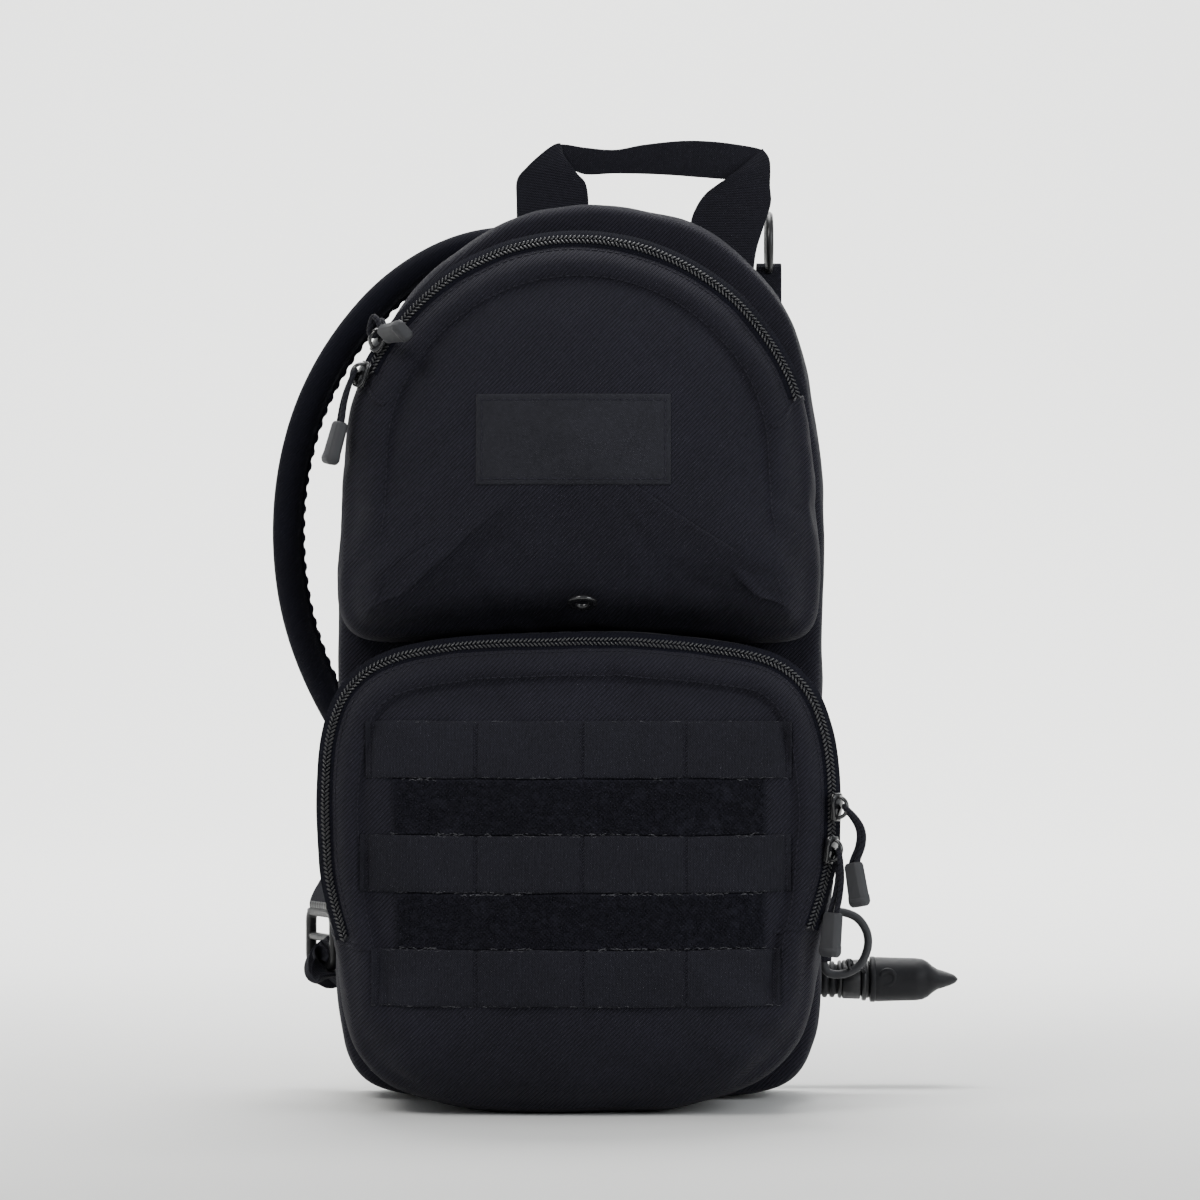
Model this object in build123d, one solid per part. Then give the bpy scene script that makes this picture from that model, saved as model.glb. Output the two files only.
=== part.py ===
from build123d import *
import math
import os

# A small hydration backpack. +X is to the right as seen from the front, the front
# faces -Y and +Z is up. The origin is the middle of the flat base, on the floor.
# All sizes are in millimetres.

# ---- driving dimensions -------------------------------------------------------------
WALL = 3.0                 # fabric and lining of a bag wall
GAP = 0.3                  # clearance between faces of separate bodies

MAIN_HALF = 112.0          # half width of the main compartment
MAIN_TOP = 416.0           # height of the main compartment
MAIN_FRONT = -5.0          # its front face
MAIN_BACK = 45.0           # its open rear edge, closed by the back panel
MAIN_CORNER = 30.0         # radius of its lower corners
PANEL = 4.0                # thickness of the back panel

UPPER_R = 107.0            # radius of the upper pocket's arch
UPPER_Z = 292.0            # height of the centre of that arch
UPPER_BASE = 222.0         # lower edge of the upper pocket
UPPER_ZIP_Y = -40.0        # front edge of its side band, where the dome starts
UPPER_FRONT = -72.0        # its front face
UPPER_TAPER = 25.0         # slope of the dome, degrees

LOWER_R = 116.0            # radius of the lower pocket's bowed sides
LOWER_Z = 145.0            # height of the centre of those sides
LOWER_TOP = 214.0          # top edge of the lower pocket
LOWER_FOOT_HALF = 103.0    # half width near the floor
LOWER_CORNER = 40.0        # radius of its top corners
LOWER_ZIP_Y = -74.0
LOWER_FRONT = -95.0
LOWER_TAPER = 38.0

CHAIN_W = 6.0              # zip chain: width, and height above the band it is sewn to
CHAIN_H = 1.6
UPPER_CHAIN_ENDS = (17.0, 162.0)   # degrees round the arch, from +X
LOWER_CHAIN_FOOT = 94.0            # height of the lower chain's two ends

SLIDER_L = 13.0            # zip slider: length along the chain, width, plate height
SLIDER_W = 9.0
SLIDER_H = 2.6
BAIL_R = 4.7               # bail: radius of its bow and of its wire
BAIL_WIRE = 0.9
CORD_D = 2.6               # pull cord
LEG_GAP = 5.0              # distance between the cord's two legs, centre to centre
PULL_END = (10.5, 6.0, 20.0)       # moulded end: width, thickness, length

ROW_HALF = 95.0            # webbing rows on the lower pocket
WEBBING_W = 25.4
WEBBING_T = 1.6
ROW_FEET = (50.5, 101.5, 152.5)    # lower edges of the three rows
STRIP_HALF = 84.0          # loop-fastener strips between the rows
STRIP_T = 2.2
TACK_X = (-45.5, 2.0, 48.0)        # bar-tacks that close each webbing loop

PATCH = (88.0, 41.0)       # patch on the upper pocket
PATCH_AT = (-2.0, 304.5)
PATCH_T = 1.4

EYELET_R = 7.0
EYELET_HOLE = 3.0
EYELET_T = 2.4

TUBE_D = 14.0              # sleeved drinking tube
PORT = (28.0, 24.0, 20.0)  # tube port on the back panel: length, depth, height
PORT_X = 4.0               # its left face, where the drinking tube starts
PORT_Y = 61.0
PORT_Z = 404.0
# the drinking tube's route, from the port round the left side and behind the pack
TUBE_ROUTE = (
    (4, 61, 404), (-22, 61, 404), (-56, 61, 401), (-88, 61, 383), (-112, 61, 356),
    (-129, 62, 325), (-138, 64, 291), (-140, 68, 257), (-136, 75, 224), (-125, 84, 192),
    (-107, 93, 160), (-84, 100, 128), (-57, 105, 98), (-28, 107, 73), (2, 104, 56),
    (32, 96, 47), (60, 85, 47), (84, 80, 50), (108, 80, 50),
)

VALVE_R = 8.6              # ribbed sleeve, shut-off body, cover
RIBS_L = 16.0
SHUT_R = 9.2
SHUT_L = 15.0
COLLAR_L = 9.0
BITE_R = 7.2
BITE_L = 26.0
COVER_R = 10.6
COVER_L = 36.0
COVER_WALL = 2.4

HANDLE_X = (-16.5, 73.5)   # centre lines of the two legs of the grab handle
HANDLE_TOP = 441.0
HANDLE_FOLD = 14.0         # height seen of the tilted top strip
HANDLE_T = 2.6
HANDLE_HINGE = 418.0       # height where the loop bends
HANDLE_FEET = 376.0        # lower end of its sewn tabs

RING_AT = (90.5, 66.0, 402.0)      # black ring beside the handle
RING_R = 13.5
RING_WIRE = 1.8

LOOP_X = MAIN_HALF + 4.0   # straight bar of the side loop
LOOP_Y = 47.0
LOOP_Z = 70.5
LOOP_HALF = 13.0           # half its height
LOOP_REACH = 19.0
LOOP_WIRE = 1.9

PAD_T = 11.0               # back pads
STRAP_W = 52.0             # padded shoulder straps
STRAP_T = 10.0
STRAP_TOP = 364.0
STRAP_FOOT = 190.0
STRAP_BOW = 26.0           # how far the strap bows away from the back
STRAP_X = 44.0             # its centre line at the top
STRAP_SWING = 24.0         # how far the centre line swings outwards, halfway down
LOCK = (34.0, 5.0, 30.0)   # ladder lock: width, thickness, height
# each lock: top middle (x, y, z) and turn
LOCK_AT = {"left": (-MAIN_HALF - 10.0, 61.0, 86.0, -65.0), "right": (MAIN_HALF - 10.5, 64.5, 124.0, 0.0)}

BAG_HALF = 82.0            # reservoir bag
BAG_Z = (22.0, 346.0)
BAG_Y = (15.0, 40.0)
FILL_Z = 276.0
FILL_R = 36.0
FILL_BORE = 30.0
CAP_R = 41.0
INNER_D = 9.0
OUTLET_Z = 48.0

os.makedirs("parts", exist_ok=True)


def save(shape, name):
    shape.label = name
    export_step(shape, f"parts/{name}.step")
    return shape


def box(low, high):
    """A box from its lowest to its highest corner."""
    size = [b - a for a, b in zip(low, high)]
    middle = [(a + b) / 2 for a, b in zip(low, high)]
    return Pos(*middle) * Box(*size)


def rod(start, end, radius, bore=0.0):
    """A round bar, or a sleeve when it has a bore, between two points."""
    axis = Vector(*end) - Vector(*start)
    plane = Plane(origin=start, z_dir=axis)
    ring = Circle(radius) - Circle(bore) if bore else Circle(radius)
    return extrude(plane * ring, axis.length)


def front_plane(y):
    """Plane whose local x, y are the row's X, Z, and whose normal is -Y."""
    return Plane(origin=(0, y, 0), x_dir=(1, 0, 0), z_dir=(0, -1, 0))


def prism(face, y0, y1):
    """A front-view outline stretched from y0 forwards or backwards to y1."""
    return extrude(front_plane(y0) * face, y0 - y1)


def main_outline(inset=0.0):
    """Round-topped outline of the main compartment."""
    half = MAIN_HALF - inset
    centre = MAIN_TOP - MAIN_HALF
    top = Pos(0, centre) * Circle(half)
    body = Pos(0, (inset + centre) / 2) * RectangleRounded(2 * half, centre - inset, MAIN_CORNER)
    band = Pos(0, centre - half / 2) * Rectangle(2 * half, half)
    return (top + body + band).face()


def upper_outline(inset=0.0):
    """Arch of the upper pocket, with straight sides below the centre."""
    half = UPPER_R - inset
    foot = UPPER_BASE + inset
    height = UPPER_Z - foot
    return (Pos(0, UPPER_Z) * Circle(half) - Pos(0, foot - half) * Rectangle(4 * half, 2 * half)
            + Pos(0, foot + height / 2) * Rectangle(2 * half, height)).face()


def lower_outline(inset=0.0):
    """Lower pocket: bowed sides, rounded top corners, narrower foot."""
    bow = Pos(0, LOWER_Z) * Circle(LOWER_R - inset)
    tall = LOWER_TOP - LOWER_Z
    upper = Pos(0, LOWER_Z + (tall - inset) / 2) * Rectangle(3 * LOWER_R, tall - inset)
    foot_half = LOWER_FOOT_HALF - inset
    foot = Pos(0, (LOWER_Z + inset) / 2) * Rectangle(2 * foot_half, LOWER_Z - inset)
    waist = Pos(0, LOWER_Z - LOWER_R / 4) * Rectangle(3 * LOWER_R, LOWER_R / 2)
    outline = (bow & upper) + foot + (bow & waist)
    corners = outline.vertices().group_by(Axis.Y)
    rounded = fillet(corners[-1], LOWER_CORNER - inset)
    return fillet(rounded.vertices().group_by(Axis.Y)[0], MAIN_CORNER - inset).face()


def pocket(outline, zip_y, front_y, taper):
    """An empty pocket: a side band, then a front that slopes in; open behind."""
    def solid(inset, face_wall):
        band = prism(outline(inset), MAIN_FRONT, zip_y)
        dome = extrude(front_plane(zip_y) * outline(inset), zip_y - front_y - face_wall, taper=taper)
        return band + dome
    return solid(0.0, 0.0) - solid(WALL, WALL)


def chain(outline, y, keep):
    """A zip chain standing on the side band, kept where it lies inside keep."""
    ring = prism(outline(-CHAIN_H), y, y - CHAIN_W) - prism(outline(0.0), y + 1, y - CHAIN_W - 1)
    return ring & keep


def arc_point(centre_z, radius, degrees, y):
    a = math.radians(degrees)
    return (radius * math.cos(a), y, centre_z + radius * math.sin(a))


def wedge(centre_z, a0, a1, y0, y1, reach=200.0):
    """Everything between two angles round a centre, for cutting a chain to length."""
    points = [(0, centre_z)]
    steps = 8
    for i in range(steps + 1):
        a = math.radians(a0 + (a1 - a0) * i / steps)
        points.append((reach * math.cos(a), centre_z + reach * math.sin(a)))
    return prism(make_face(Polyline(*points, close=True)), y1, y0)


# ---- bag shells ---------------------------------------------------------------------
main_wall = prism(main_outline(), MAIN_BACK, MAIN_FRONT)
main_hollow = prism(main_outline(WALL), MAIN_BACK, MAIN_FRONT + WALL)
save(main_wall - main_hollow, "main_compartment")

hose_hole = rod((PORT_X + PORT[0] / 2, MAIN_BACK - 1, PORT_Z),
                (PORT_X + PORT[0] / 2, MAIN_BACK + PANEL + 1, PORT_Z), INNER_D / 2 + 0.5)
back_panel = prism(main_outline(), MAIN_BACK + PANEL, MAIN_BACK) - hose_hole
save(back_panel, "back_panel")

upper_pocket = pocket(upper_outline, UPPER_ZIP_Y, UPPER_FRONT, UPPER_TAPER)
lower_pocket = pocket(lower_outline, LOWER_ZIP_Y, LOWER_FRONT, LOWER_TAPER)

# ---- drain eyelets ------------------------------------------------------------------
def eyelet(at, outward):
    """Eyelet whose outer rim is at the point; it fills the hole cut in the wall."""
    end = Vector(*at) - Vector(*outward).normalized() * EYELET_T
    return rod(at, end, EYELET_R, EYELET_HOLE)


def eyelet_seat(at, outward):
    n = Vector(*outward).normalized()
    start = Vector(*at) + n * 2
    end = Vector(*at) - n * (WALL + 6)
    return rod(start, end, EYELET_R + 0.1)


slope = math.radians(UPPER_TAPER)
upper_eyelet_out = (0, -math.sin(slope), -math.cos(slope))
half_slope = (UPPER_ZIP_Y + UPPER_FRONT) / 2
upper_eyelet_at = (2.0, half_slope, UPPER_BASE + (UPPER_ZIP_Y - half_slope) * math.tan(slope))
lower_eyelet_at = (0.0, -45.0, 0.0)
save(upper_pocket - eyelet_seat(upper_eyelet_at, upper_eyelet_out), "upper_pocket")
save(lower_pocket - eyelet_seat(lower_eyelet_at, (0, 0, -1)), "lower_pocket")
save(eyelet(upper_eyelet_at, upper_eyelet_out), "upper_eyelet")
save(eyelet(lower_eyelet_at, (0, 0, -1)), "lower_eyelet")

# ---- zip chains ---------------------------------------------------------------------
upper_chain_y = UPPER_ZIP_Y + CHAIN_W + 1
lower_chain_y = LOWER_ZIP_Y + CHAIN_W + 1
upper_keep = wedge(UPPER_Z, *UPPER_CHAIN_ENDS, UPPER_ZIP_Y - 20, MAIN_FRONT)
lower_keep = box((-200, LOWER_ZIP_Y - 20, LOWER_CHAIN_FOOT), (200, MAIN_FRONT, LOWER_TOP + 20))
save(chain(upper_outline, upper_chain_y, upper_keep), "upper_zip_chain")
save(chain(lower_outline, lower_chain_y, lower_keep), "lower_zip_chain")


# ---- sliders and pulls --------------------------------------------------------------
def slider(centre_z, radius, degrees, y):
    """A slider on a round stretch of chain: a bent plate and a bail over it."""
    low = radius + CHAIN_H + GAP
    half_angle = math.degrees(SLIDER_L / 2 / low)
    ring = Circle(low + SLIDER_H) - Circle(low)
    plate = prism(Pos(0, centre_z) * ring, y + SLIDER_W / 2, y - SLIDER_W / 2)
    plate = plate & wedge(centre_z, degrees - half_angle, degrees + half_angle, y - 20, y + 20)
    foot = arc_point(centre_z, low + SLIDER_H - 0.1, degrees, y)
    bow = Plane(origin=foot, x_dir=(-math.sin(math.radians(degrees)), 0, math.cos(math.radians(degrees))),
                z_dir=(0, -1, 0))
    # local x runs along the chain; local y points inwards, so the bow is turned over
    bail = bow * Torus(BAIL_R, BAIL_WIRE)
    return plate + (bail - (prism(Pos(0, centre_z) * Circle(low + 0.2), y + 20, y - 20)))


def pull(slider_z, radius, degrees, y, direction, leg):
    """Cord loop through the bail and the moulded end, along a unit direction (x, z)."""
    a = math.radians(degrees)
    reach = radius + CHAIN_H + GAP + SLIDER_H + BAIL_R - BAIL_WIRE - CORD_D / 2 - GAP
    eye = Vector(reach * math.cos(a), y, slider_z + reach * math.sin(a))
    along = Vector(direction[0], 0, direction[1]).normalized()
    side = Vector(0, 1, 0)
    half = LEG_GAP / 2
    start = eye + along * leg + side * half
    end = eye + along * leg - side * half
    bend = half * 0.96
    loop = FilletPolyline(start, eye + side * half, eye - side * half, end, radius=bend)
    cord = sweep(Plane(origin=start, z_dir=-along) * Circle(CORD_D / 2), path=loop)
    width, thick, long = PULL_END
    plane = Plane(origin=eye + along * leg, x_dir=side, z_dir=along)
    end_piece = extrude(plane * RectangleRounded(width, thick, thick * 0.45), long)
    print(f"pull cord: radii {bend:.2f}, leg {leg:.1f}, volume ratio "
          f"{cord.volume / (math.pi * CORD_D ** 2 / 4 * loop.length):.3f}")
    return cord, end_piece, eye


UPPER_A, UPPER_B = 147.0, 156.5         # sliders of the upper zip, degrees round its arch
LOWER_A, LOWER_B = -3.0, -12.5          # sliders of the lower zip
upper_mid_y = upper_chain_y - CHAIN_W / 2
lower_mid_y = lower_chain_y - CHAIN_W / 2
sliders = (
    ("upper_zip_slider_a", UPPER_Z, UPPER_R, UPPER_A, upper_mid_y, (0.62, 0.78), 17.0),
    ("upper_zip_slider_b", UPPER_Z, UPPER_R, UPPER_B, upper_mid_y, (-0.30, -0.954), 27.0),
    ("lower_zip_slider_a", LOWER_Z, LOWER_R, LOWER_A, lower_mid_y, (0.30, -0.95), 27.0),
    ("lower_zip_slider_b", LOWER_Z, LOWER_R, LOWER_B, lower_mid_y, (0.03, -1.0), 32.0),
)
for name, centre, radius, degrees, y, direction, leg in sliders:
    save(slider(centre, radius, degrees, y), name)
    cord, end_piece, eye = pull(centre, radius, degrees, y, direction, leg)
    save(cord, name.replace("slider", "pull_cord"))
    save(end_piece, name.replace("slider", "pull_end"))
    print(name, "pull hinge at", [round(v, 3) for v in eye])

# ---- front trim ---------------------------------------------------------------------
for name, foot in zip(("webbing_row_low", "webbing_row_middle", "webbing_row_top"), ROW_FEET):
    row = box((-ROW_HALF, LOWER_FRONT - WEBBING_T, foot), (ROW_HALF, LOWER_FRONT, foot + WEBBING_W))
    for x in TACK_X:
        groove = box((x - 1.5, LOWER_FRONT - WEBBING_T - 1, foot),
                     (x + 1.5, LOWER_FRONT - WEBBING_T + 0.5, foot + WEBBING_W))
        row -= groove
    save(row, name)
for name, foot in zip(("loop_strip_low", "loop_strip_top"), ROW_FEET):
    low = foot + WEBBING_W + 0.1
    high = foot + ROW_FEET[1] - ROW_FEET[0] - 0.1
    save(box((-STRIP_HALF, LOWER_FRONT - STRIP_T, low), (STRIP_HALF, LOWER_FRONT, high)), name)
patch_low = (PATCH_AT[0] - PATCH[0] / 2, UPPER_FRONT - PATCH_T, PATCH_AT[1] - PATCH[1] / 2)
patch_high = (PATCH_AT[0] + PATCH[0] / 2, UPPER_FRONT, PATCH_AT[1] + PATCH[1] / 2)
save(box(patch_low, patch_high), "patch")

# ---- back: pads, straps, webbing ----------------------------------------------------
panel_y = MAIN_BACK + PANEL
for side, name in ((-1, "left"), (1, "right")):
    pad = Pos(side * 50, 0) * RectangleRounded(72, 178, 22)
    save(prism(Pos(0, 256) * pad, panel_y + PAD_T, panel_y), f"back_pad_{name}")
lumbar = Pos(0, 92) * RectangleRounded(176, 104, 26)
save(prism(lumbar, panel_y + PAD_T, panel_y), "lumbar_pad")


def strap_centre(z):
    """Sideways place of a shoulder strap's centre line at a height."""
    t = (STRAP_TOP - z) / (STRAP_TOP - STRAP_FOOT)
    return STRAP_X + STRAP_SWING * math.sin(math.pi * t * 0.62)


def strap_outline(side):
    steps = 6
    heights = [STRAP_TOP + (STRAP_FOOT - STRAP_TOP) * i / steps for i in range(steps + 1)]
    outer = [(side * (strap_centre(z) + STRAP_W / 2), z) for z in heights]
    inner = [(side * (strap_centre(z) - STRAP_W / 2), z) for z in reversed(heights)]
    return make_face(Polyline(*outer, *inner, close=True))


def bow_profile(thickness, offset):
    """Side view of a strap that bows away from the back: a slice between two arcs."""
    seat = panel_y + PAD_T + GAP + offset
    middle = (STRAP_TOP + STRAP_FOOT) / 2
    inner = [(seat, STRAP_TOP), (seat + STRAP_BOW, middle), (seat, STRAP_FOOT)]
    outer = [(y + thickness, z) for y, z in inner]
    line = [ThreePointArc(*inner), Line(inner[2], outer[2]), ThreePointArc(*outer), Line(outer[0], inner[0])]
    return make_face(line)


side_plane = Plane(origin=(0, 0, 0), x_dir=(0, 1, 0), z_dir=(1, 0, 0))
for side, name in ((-1, "left"), (1, "right")):
    slab = extrude(side_plane * bow_profile(STRAP_T, 0.0), 140, both=True)
    strap = slab & prism(strap_outline(side), 200, 0)
    top_x = side * STRAP_X
    top = box((top_x - STRAP_W / 2, panel_y, STRAP_TOP - 12),
              (top_x + STRAP_W / 2, panel_y + PAD_T + STRAP_T, STRAP_TOP + 4))
    save(strap + top, f"shoulder_strap_{name}")
    # webbing from the middle of the strap's lower end to the ladder lock
    lock_x, lock_y, lock_z, turn = LOCK_AT[name]
    start = Vector(side * strap_centre(STRAP_FOOT), panel_y + PAD_T + GAP + STRAP_T / 2, STRAP_FOOT - GAP)
    inward = -side * (WEBBING_W / 2 - 3) * abs(math.sin(math.radians(turn)))
    end = Vector(lock_x + inward, panel_y + PAD_T + 3.0, lock_z + GAP)
    run = end - start
    plane = Plane(origin=start, x_dir=run.cross(Vector(0, 1, 0)), z_dir=run)
    webbing = extrude(plane * Rectangle(WEBBING_W, WEBBING_T), run.length)
    webbing &= box((-200, 0, lock_z + GAP), (200, 200, STRAP_FOOT - GAP))
    save(webbing, f"strap_webbing_{name}")
    width, thick, tall = LOCK
    frame = box((-width / 2, -thick / 2, -tall), (width / 2, thick / 2, 0))
    slot_half = width / 2 - 3.5
    for low, high in ((3.5 - tall, -tall / 2 - 2), (2 - tall / 2, -3.5)):
        frame -= box((-slot_half, -thick, low), (slot_half, thick, high))
    place = Pos(lock_x, lock_y, lock_z) * Rot(0, 0, turn)
    save(place * frame, f"ladder_lock_{name}")
    # tab: a band behind the lock's lower bar, sewn to the edge of the pack
    band = place * box((-WEBBING_W / 2, thick / 2 + GAP, -tall - 8),
                       (WEBBING_W / 2, thick / 2 + GAP + WEBBING_T, -tall / 2))
    if turn:
        seam = box((-MAIN_HALF - 3.5, MAIN_BACK - 3, lock_z - tall - 8),
                   (-MAIN_HALF, MAIN_BACK + 7, lock_z - tall - GAP))
    else:
        seam = box((lock_x - WEBBING_W / 2, panel_y, lock_z - tall - 8),
                   (lock_x + WEBBING_W / 2, lock_y + thick / 2 + GAP + WEBBING_T, lock_z - tall - 4))
    save(band + seam, f"lock_tab_{name}")

# ---- grab handle --------------------------------------------------------------------
def handle_legs(z0, z1):
    legs = [box((x - WEBBING_W / 2, panel_y, z0), (x + WEBBING_W / 2, panel_y + HANDLE_T, z1))
            for x in HANDLE_X]
    return legs[0] + legs[1]


bridge = box((HANDLE_X[0] - WEBBING_W / 2, panel_y, HANDLE_TOP - HANDLE_FOLD),
             (HANDLE_X[1] + WEBBING_W / 2, panel_y + HANDLE_T, HANDLE_TOP))
hinge_y = panel_y + HANDLE_T / 2
loop = handle_legs(HANDLE_HINGE, HANDLE_TOP - 1) + bridge
for x in HANDLE_X:
    # the fold where the loop bends is round, so it turns without touching its tab
    loop += rod((x - WEBBING_W / 2, hinge_y, HANDLE_HINGE),
                (x + WEBBING_W / 2, hinge_y, HANDLE_HINGE), HANDLE_T / 2)
save(loop, "grab_handle")
save(handle_legs(HANDLE_FEET, HANDLE_HINGE - HANDLE_T / 2 - GAP), "handle_tabs")
print("handle hinge", hinge_y, HANDLE_HINGE)

# ---- ring beside the handle ---------------------------------------------------------
ring_x, ring_y, ring_z = RING_AT
ring_plane = Plane(origin=RING_AT, z_dir=(1, 0, 0))
save(ring_plane * Torus(RING_R, RING_WIRE), "strap_ring")
eye_z = ring_z - RING_R
tab_head = rod((ring_x, ring_y - 4, eye_z), (ring_x, ring_y + 4, eye_z), 4.4)
tab_stem = box((ring_x - 1.4, ring_y - 4, 350), (ring_x + 1.4, ring_y + 4, eye_z))
tab_foot = box((ring_x - 1.4, panel_y, 340), (ring_x + 1.4, ring_y + 4, 358))
tab_hole = rod((ring_x, ring_y - 5, eye_z), (ring_x, ring_y + 5, eye_z), 2.8)
save(tab_head + tab_stem + tab_foot - tab_hole, "ring_tab")

# ---- side loop for the valve --------------------------------------------------------
bar_low = Vector(LOOP_X, LOOP_Y, LOOP_Z - LOOP_HALF)
bar_high = Vector(LOOP_X, LOOP_Y, LOOP_Z + LOOP_HALF)
nose_low = bar_low + Vector(LOOP_REACH * 0.55, 0, 0)
nose_high = bar_high + Vector(LOOP_REACH * 0.55, 0, 0)
nose = Vector(LOOP_X + LOOP_REACH, LOOP_Y, LOOP_Z)
bow = Line(bar_low, nose_low) + ThreePointArc(nose_low, nose, nose_high) + Line(nose_high, bar_high)
loop_bow = sweep(Plane(origin=bar_low, z_dir=(1, 0, 0)) * Circle(LOOP_WIRE), path=bow)
loop_bar = rod(bar_low - Vector(0, 0, LOOP_WIRE), bar_high + Vector(0, 0, LOOP_WIRE), LOOP_WIRE)
save(loop_bow + loop_bar, "side_loop")
tab_half = LOOP_HALF - LOOP_WIRE - 1.5
tab = box((MAIN_HALF, LOOP_Y - 3.6, LOOP_Z - tab_half), (LOOP_X + 3.4, LOOP_Y + 3.6, LOOP_Z + tab_half))
save(tab - rod((LOOP_X, LOOP_Y, 0), (LOOP_X, LOOP_Y, 200), LOOP_WIRE + 0.08), "side_loop_tab")

# ---- drinking tube and its port -----------------------------------------------------
def route_radii(points):
    """For each inner point, 0.45 of its shorter run over the tangent of half its turn."""
    radii = []
    for before, here, after in zip(points, points[1:], points[2:]):
        a, b = Vector(*here) - Vector(*before), Vector(*after) - Vector(*here)
        half_turn = math.radians(a.get_angle(b)) / 2
        radii.append(0.45 * min(a.length, b.length) / math.tan(half_turn))
    return radii


def hose(points, diameter, name):
    radii = route_radii(points)
    path = FilletPolyline(*points, radius=radii)
    start = Plane(origin=points[0], z_dir=Vector(*points[1]) - Vector(*points[0]))
    body = sweep(start * Circle(diameter / 2), path=path)
    ratio = body.volume / (math.pi * diameter ** 2 / 4 * path.length)
    print(f"{name}: length {path.length:.1f}, smallest radius {min(radii):.1f}, volume ratio {ratio:.4f}")
    print("   radii", [round(r) for r in radii])
    return save(body, name)


port_low = (PORT_X, panel_y, PORT_Z - PORT[2] / 2)
port_high = (PORT_X + PORT[0], panel_y + PORT[1], PORT_Z + PORT[2] / 2)
save(box(port_low, port_high), "tube_port")
hose(TUBE_ROUTE, TUBE_D, "drinking_tube")

# ---- valve at the end of the tube ---------------------------------------------------
end_x, end_y, end_z = TUBE_ROUTE[-1]


def turned(x0, x1, radius, bore=0.0):
    """A round piece on the valve's axis between two places along X."""
    return rod((x0, end_y, end_z), (x1, end_y, end_z), radius, bore)


ribs = turned(end_x, end_x + RIBS_L, VALVE_R)
for i in range(4):
    x = end_x + 2.5 + 3.4 * i
    ribs -= turned(x, x + 1.6, VALVE_R + 1, VALVE_R - 1.2)
save(ribs, "ribbed_sleeve")
shut_x = end_x + RIBS_L
collar_x = shut_x + 2.0
leash_x = collar_x + COLLAR_L + 0.6
shut_end = shut_x + SHUT_L
core_r = SHUT_R - 1.4
body = turned(shut_x, shut_end, core_r)
body += turned(shut_x, shut_x + 1.8, SHUT_R) + turned(shut_end - 1.0, shut_end, SHUT_R)
save(body, "shutoff_body")
save(turned(collar_x, collar_x + COLLAR_L, SHUT_R + 0.4, core_r + 0.05), "shutoff_collar")
bite = turned(shut_end, shut_end + BITE_L - 8, BITE_R)
save(bite + turned(shut_end + BITE_L - 8, shut_end + BITE_L, BITE_R - 1.5), "bite_valve")
mouth = shut_end + GAP
wall = turned(mouth, mouth + COVER_L, COVER_R, COVER_R - COVER_WALL)
tip = Cone(COVER_R, 2.5, 6, align=(Align.CENTER, Align.CENTER, Align.MIN))
tip = Plane(origin=(mouth + COVER_L, end_y, end_z), z_dir=(1, 0, 0)) * tip
lid = turned(mouth + COVER_L - COVER_WALL, mouth + COVER_L, COVER_R)
save(wall + lid + tip, "valve_cover")
leash_ring = turned(leash_x, leash_x + 1.8, SHUT_R + 0.8, core_r + 0.05)
leash_from = (leash_x + 0.9, end_y - SHUT_R, end_z + 2)
leash_to = (LOOP_X + 12, LOOP_Y + LOOP_WIRE + 0.6, LOOP_Z - LOOP_HALF + 2)
leash = rod(leash_from, leash_to, 0.8)
save(leash_ring + leash, "valve_leash")
print("valve: collar", collar_x, "cover mouth", mouth, "axis y z", end_y, end_z)

# ---- reservoir inside the main compartment ------------------------------------------
bag_mid = (BAG_Z[0] + BAG_Z[1]) / 2
bag_outline = Pos(0, bag_mid) * RectangleRounded(2 * BAG_HALF, BAG_Z[1] - BAG_Z[0], 34)
save(prism(bag_outline, BAG_Y[1], BAG_Y[0]), "reservoir_bag")
lip = BAG_Y[0] - 8.5
cap_in = lip - 1.5
save(rod((0, BAG_Y[0], FILL_Z), (0, lip, FILL_Z), FILL_R, FILL_BORE), "fill_port")
save(rod((0, lip - 0.05, FILL_Z), (0, cap_in + 0.05, FILL_Z), FILL_R - 0.6, FILL_BORE + 1), "cap_seal")
cap = rod((0, cap_in - 3.8, FILL_Z), (0, cap_in, FILL_Z), CAP_R)
skirt = rod((0, cap_in, FILL_Z), (0, BAG_Y[0] - 2.5, FILL_Z), CAP_R, FILL_R + 0.08)
save(cap + skirt, "fill_cap")
hook = box((-12, BAG_Y[1] + GAP, BAG_Z[1] - 18), (12, MAIN_BACK, BAG_Z[1] + 30))
save(hook, "reservoir_hanger")
outlet = rod((0, BAG_Y[0], OUTLET_Z), (0, 1.5, OUTLET_Z), 11) + rod((0, 6, OUTLET_Z), (22, 6, OUTLET_Z), 6)
button_y = 8.0
outlet -= rod((0, button_y, OUTLET_Z - 14), (0, button_y, OUTLET_Z - 2), 3.56)
save(outlet, "outlet_connector")
save(rod((0, button_y, OUTLET_Z - 16), (0, button_y, OUTLET_Z - 5), 3.5), "release_button")
port_mid = PORT_X + PORT[0] / 2
INNER_ROUTE = (
    (22, 6, 48), (36, 6, 48), (54, 6, 58), (64, 6, 80), (67, 6, 118), (68, 6, 176),
    (67, 6, 236), (63, 6, 294), (54, 6, 334), (42, 6, 366), (26, 8, 390),
    (port_mid, 24, PORT_Z), (port_mid, panel_y, PORT_Z),
)
hose(INNER_ROUTE, INNER_D, "inner_tube")
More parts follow.
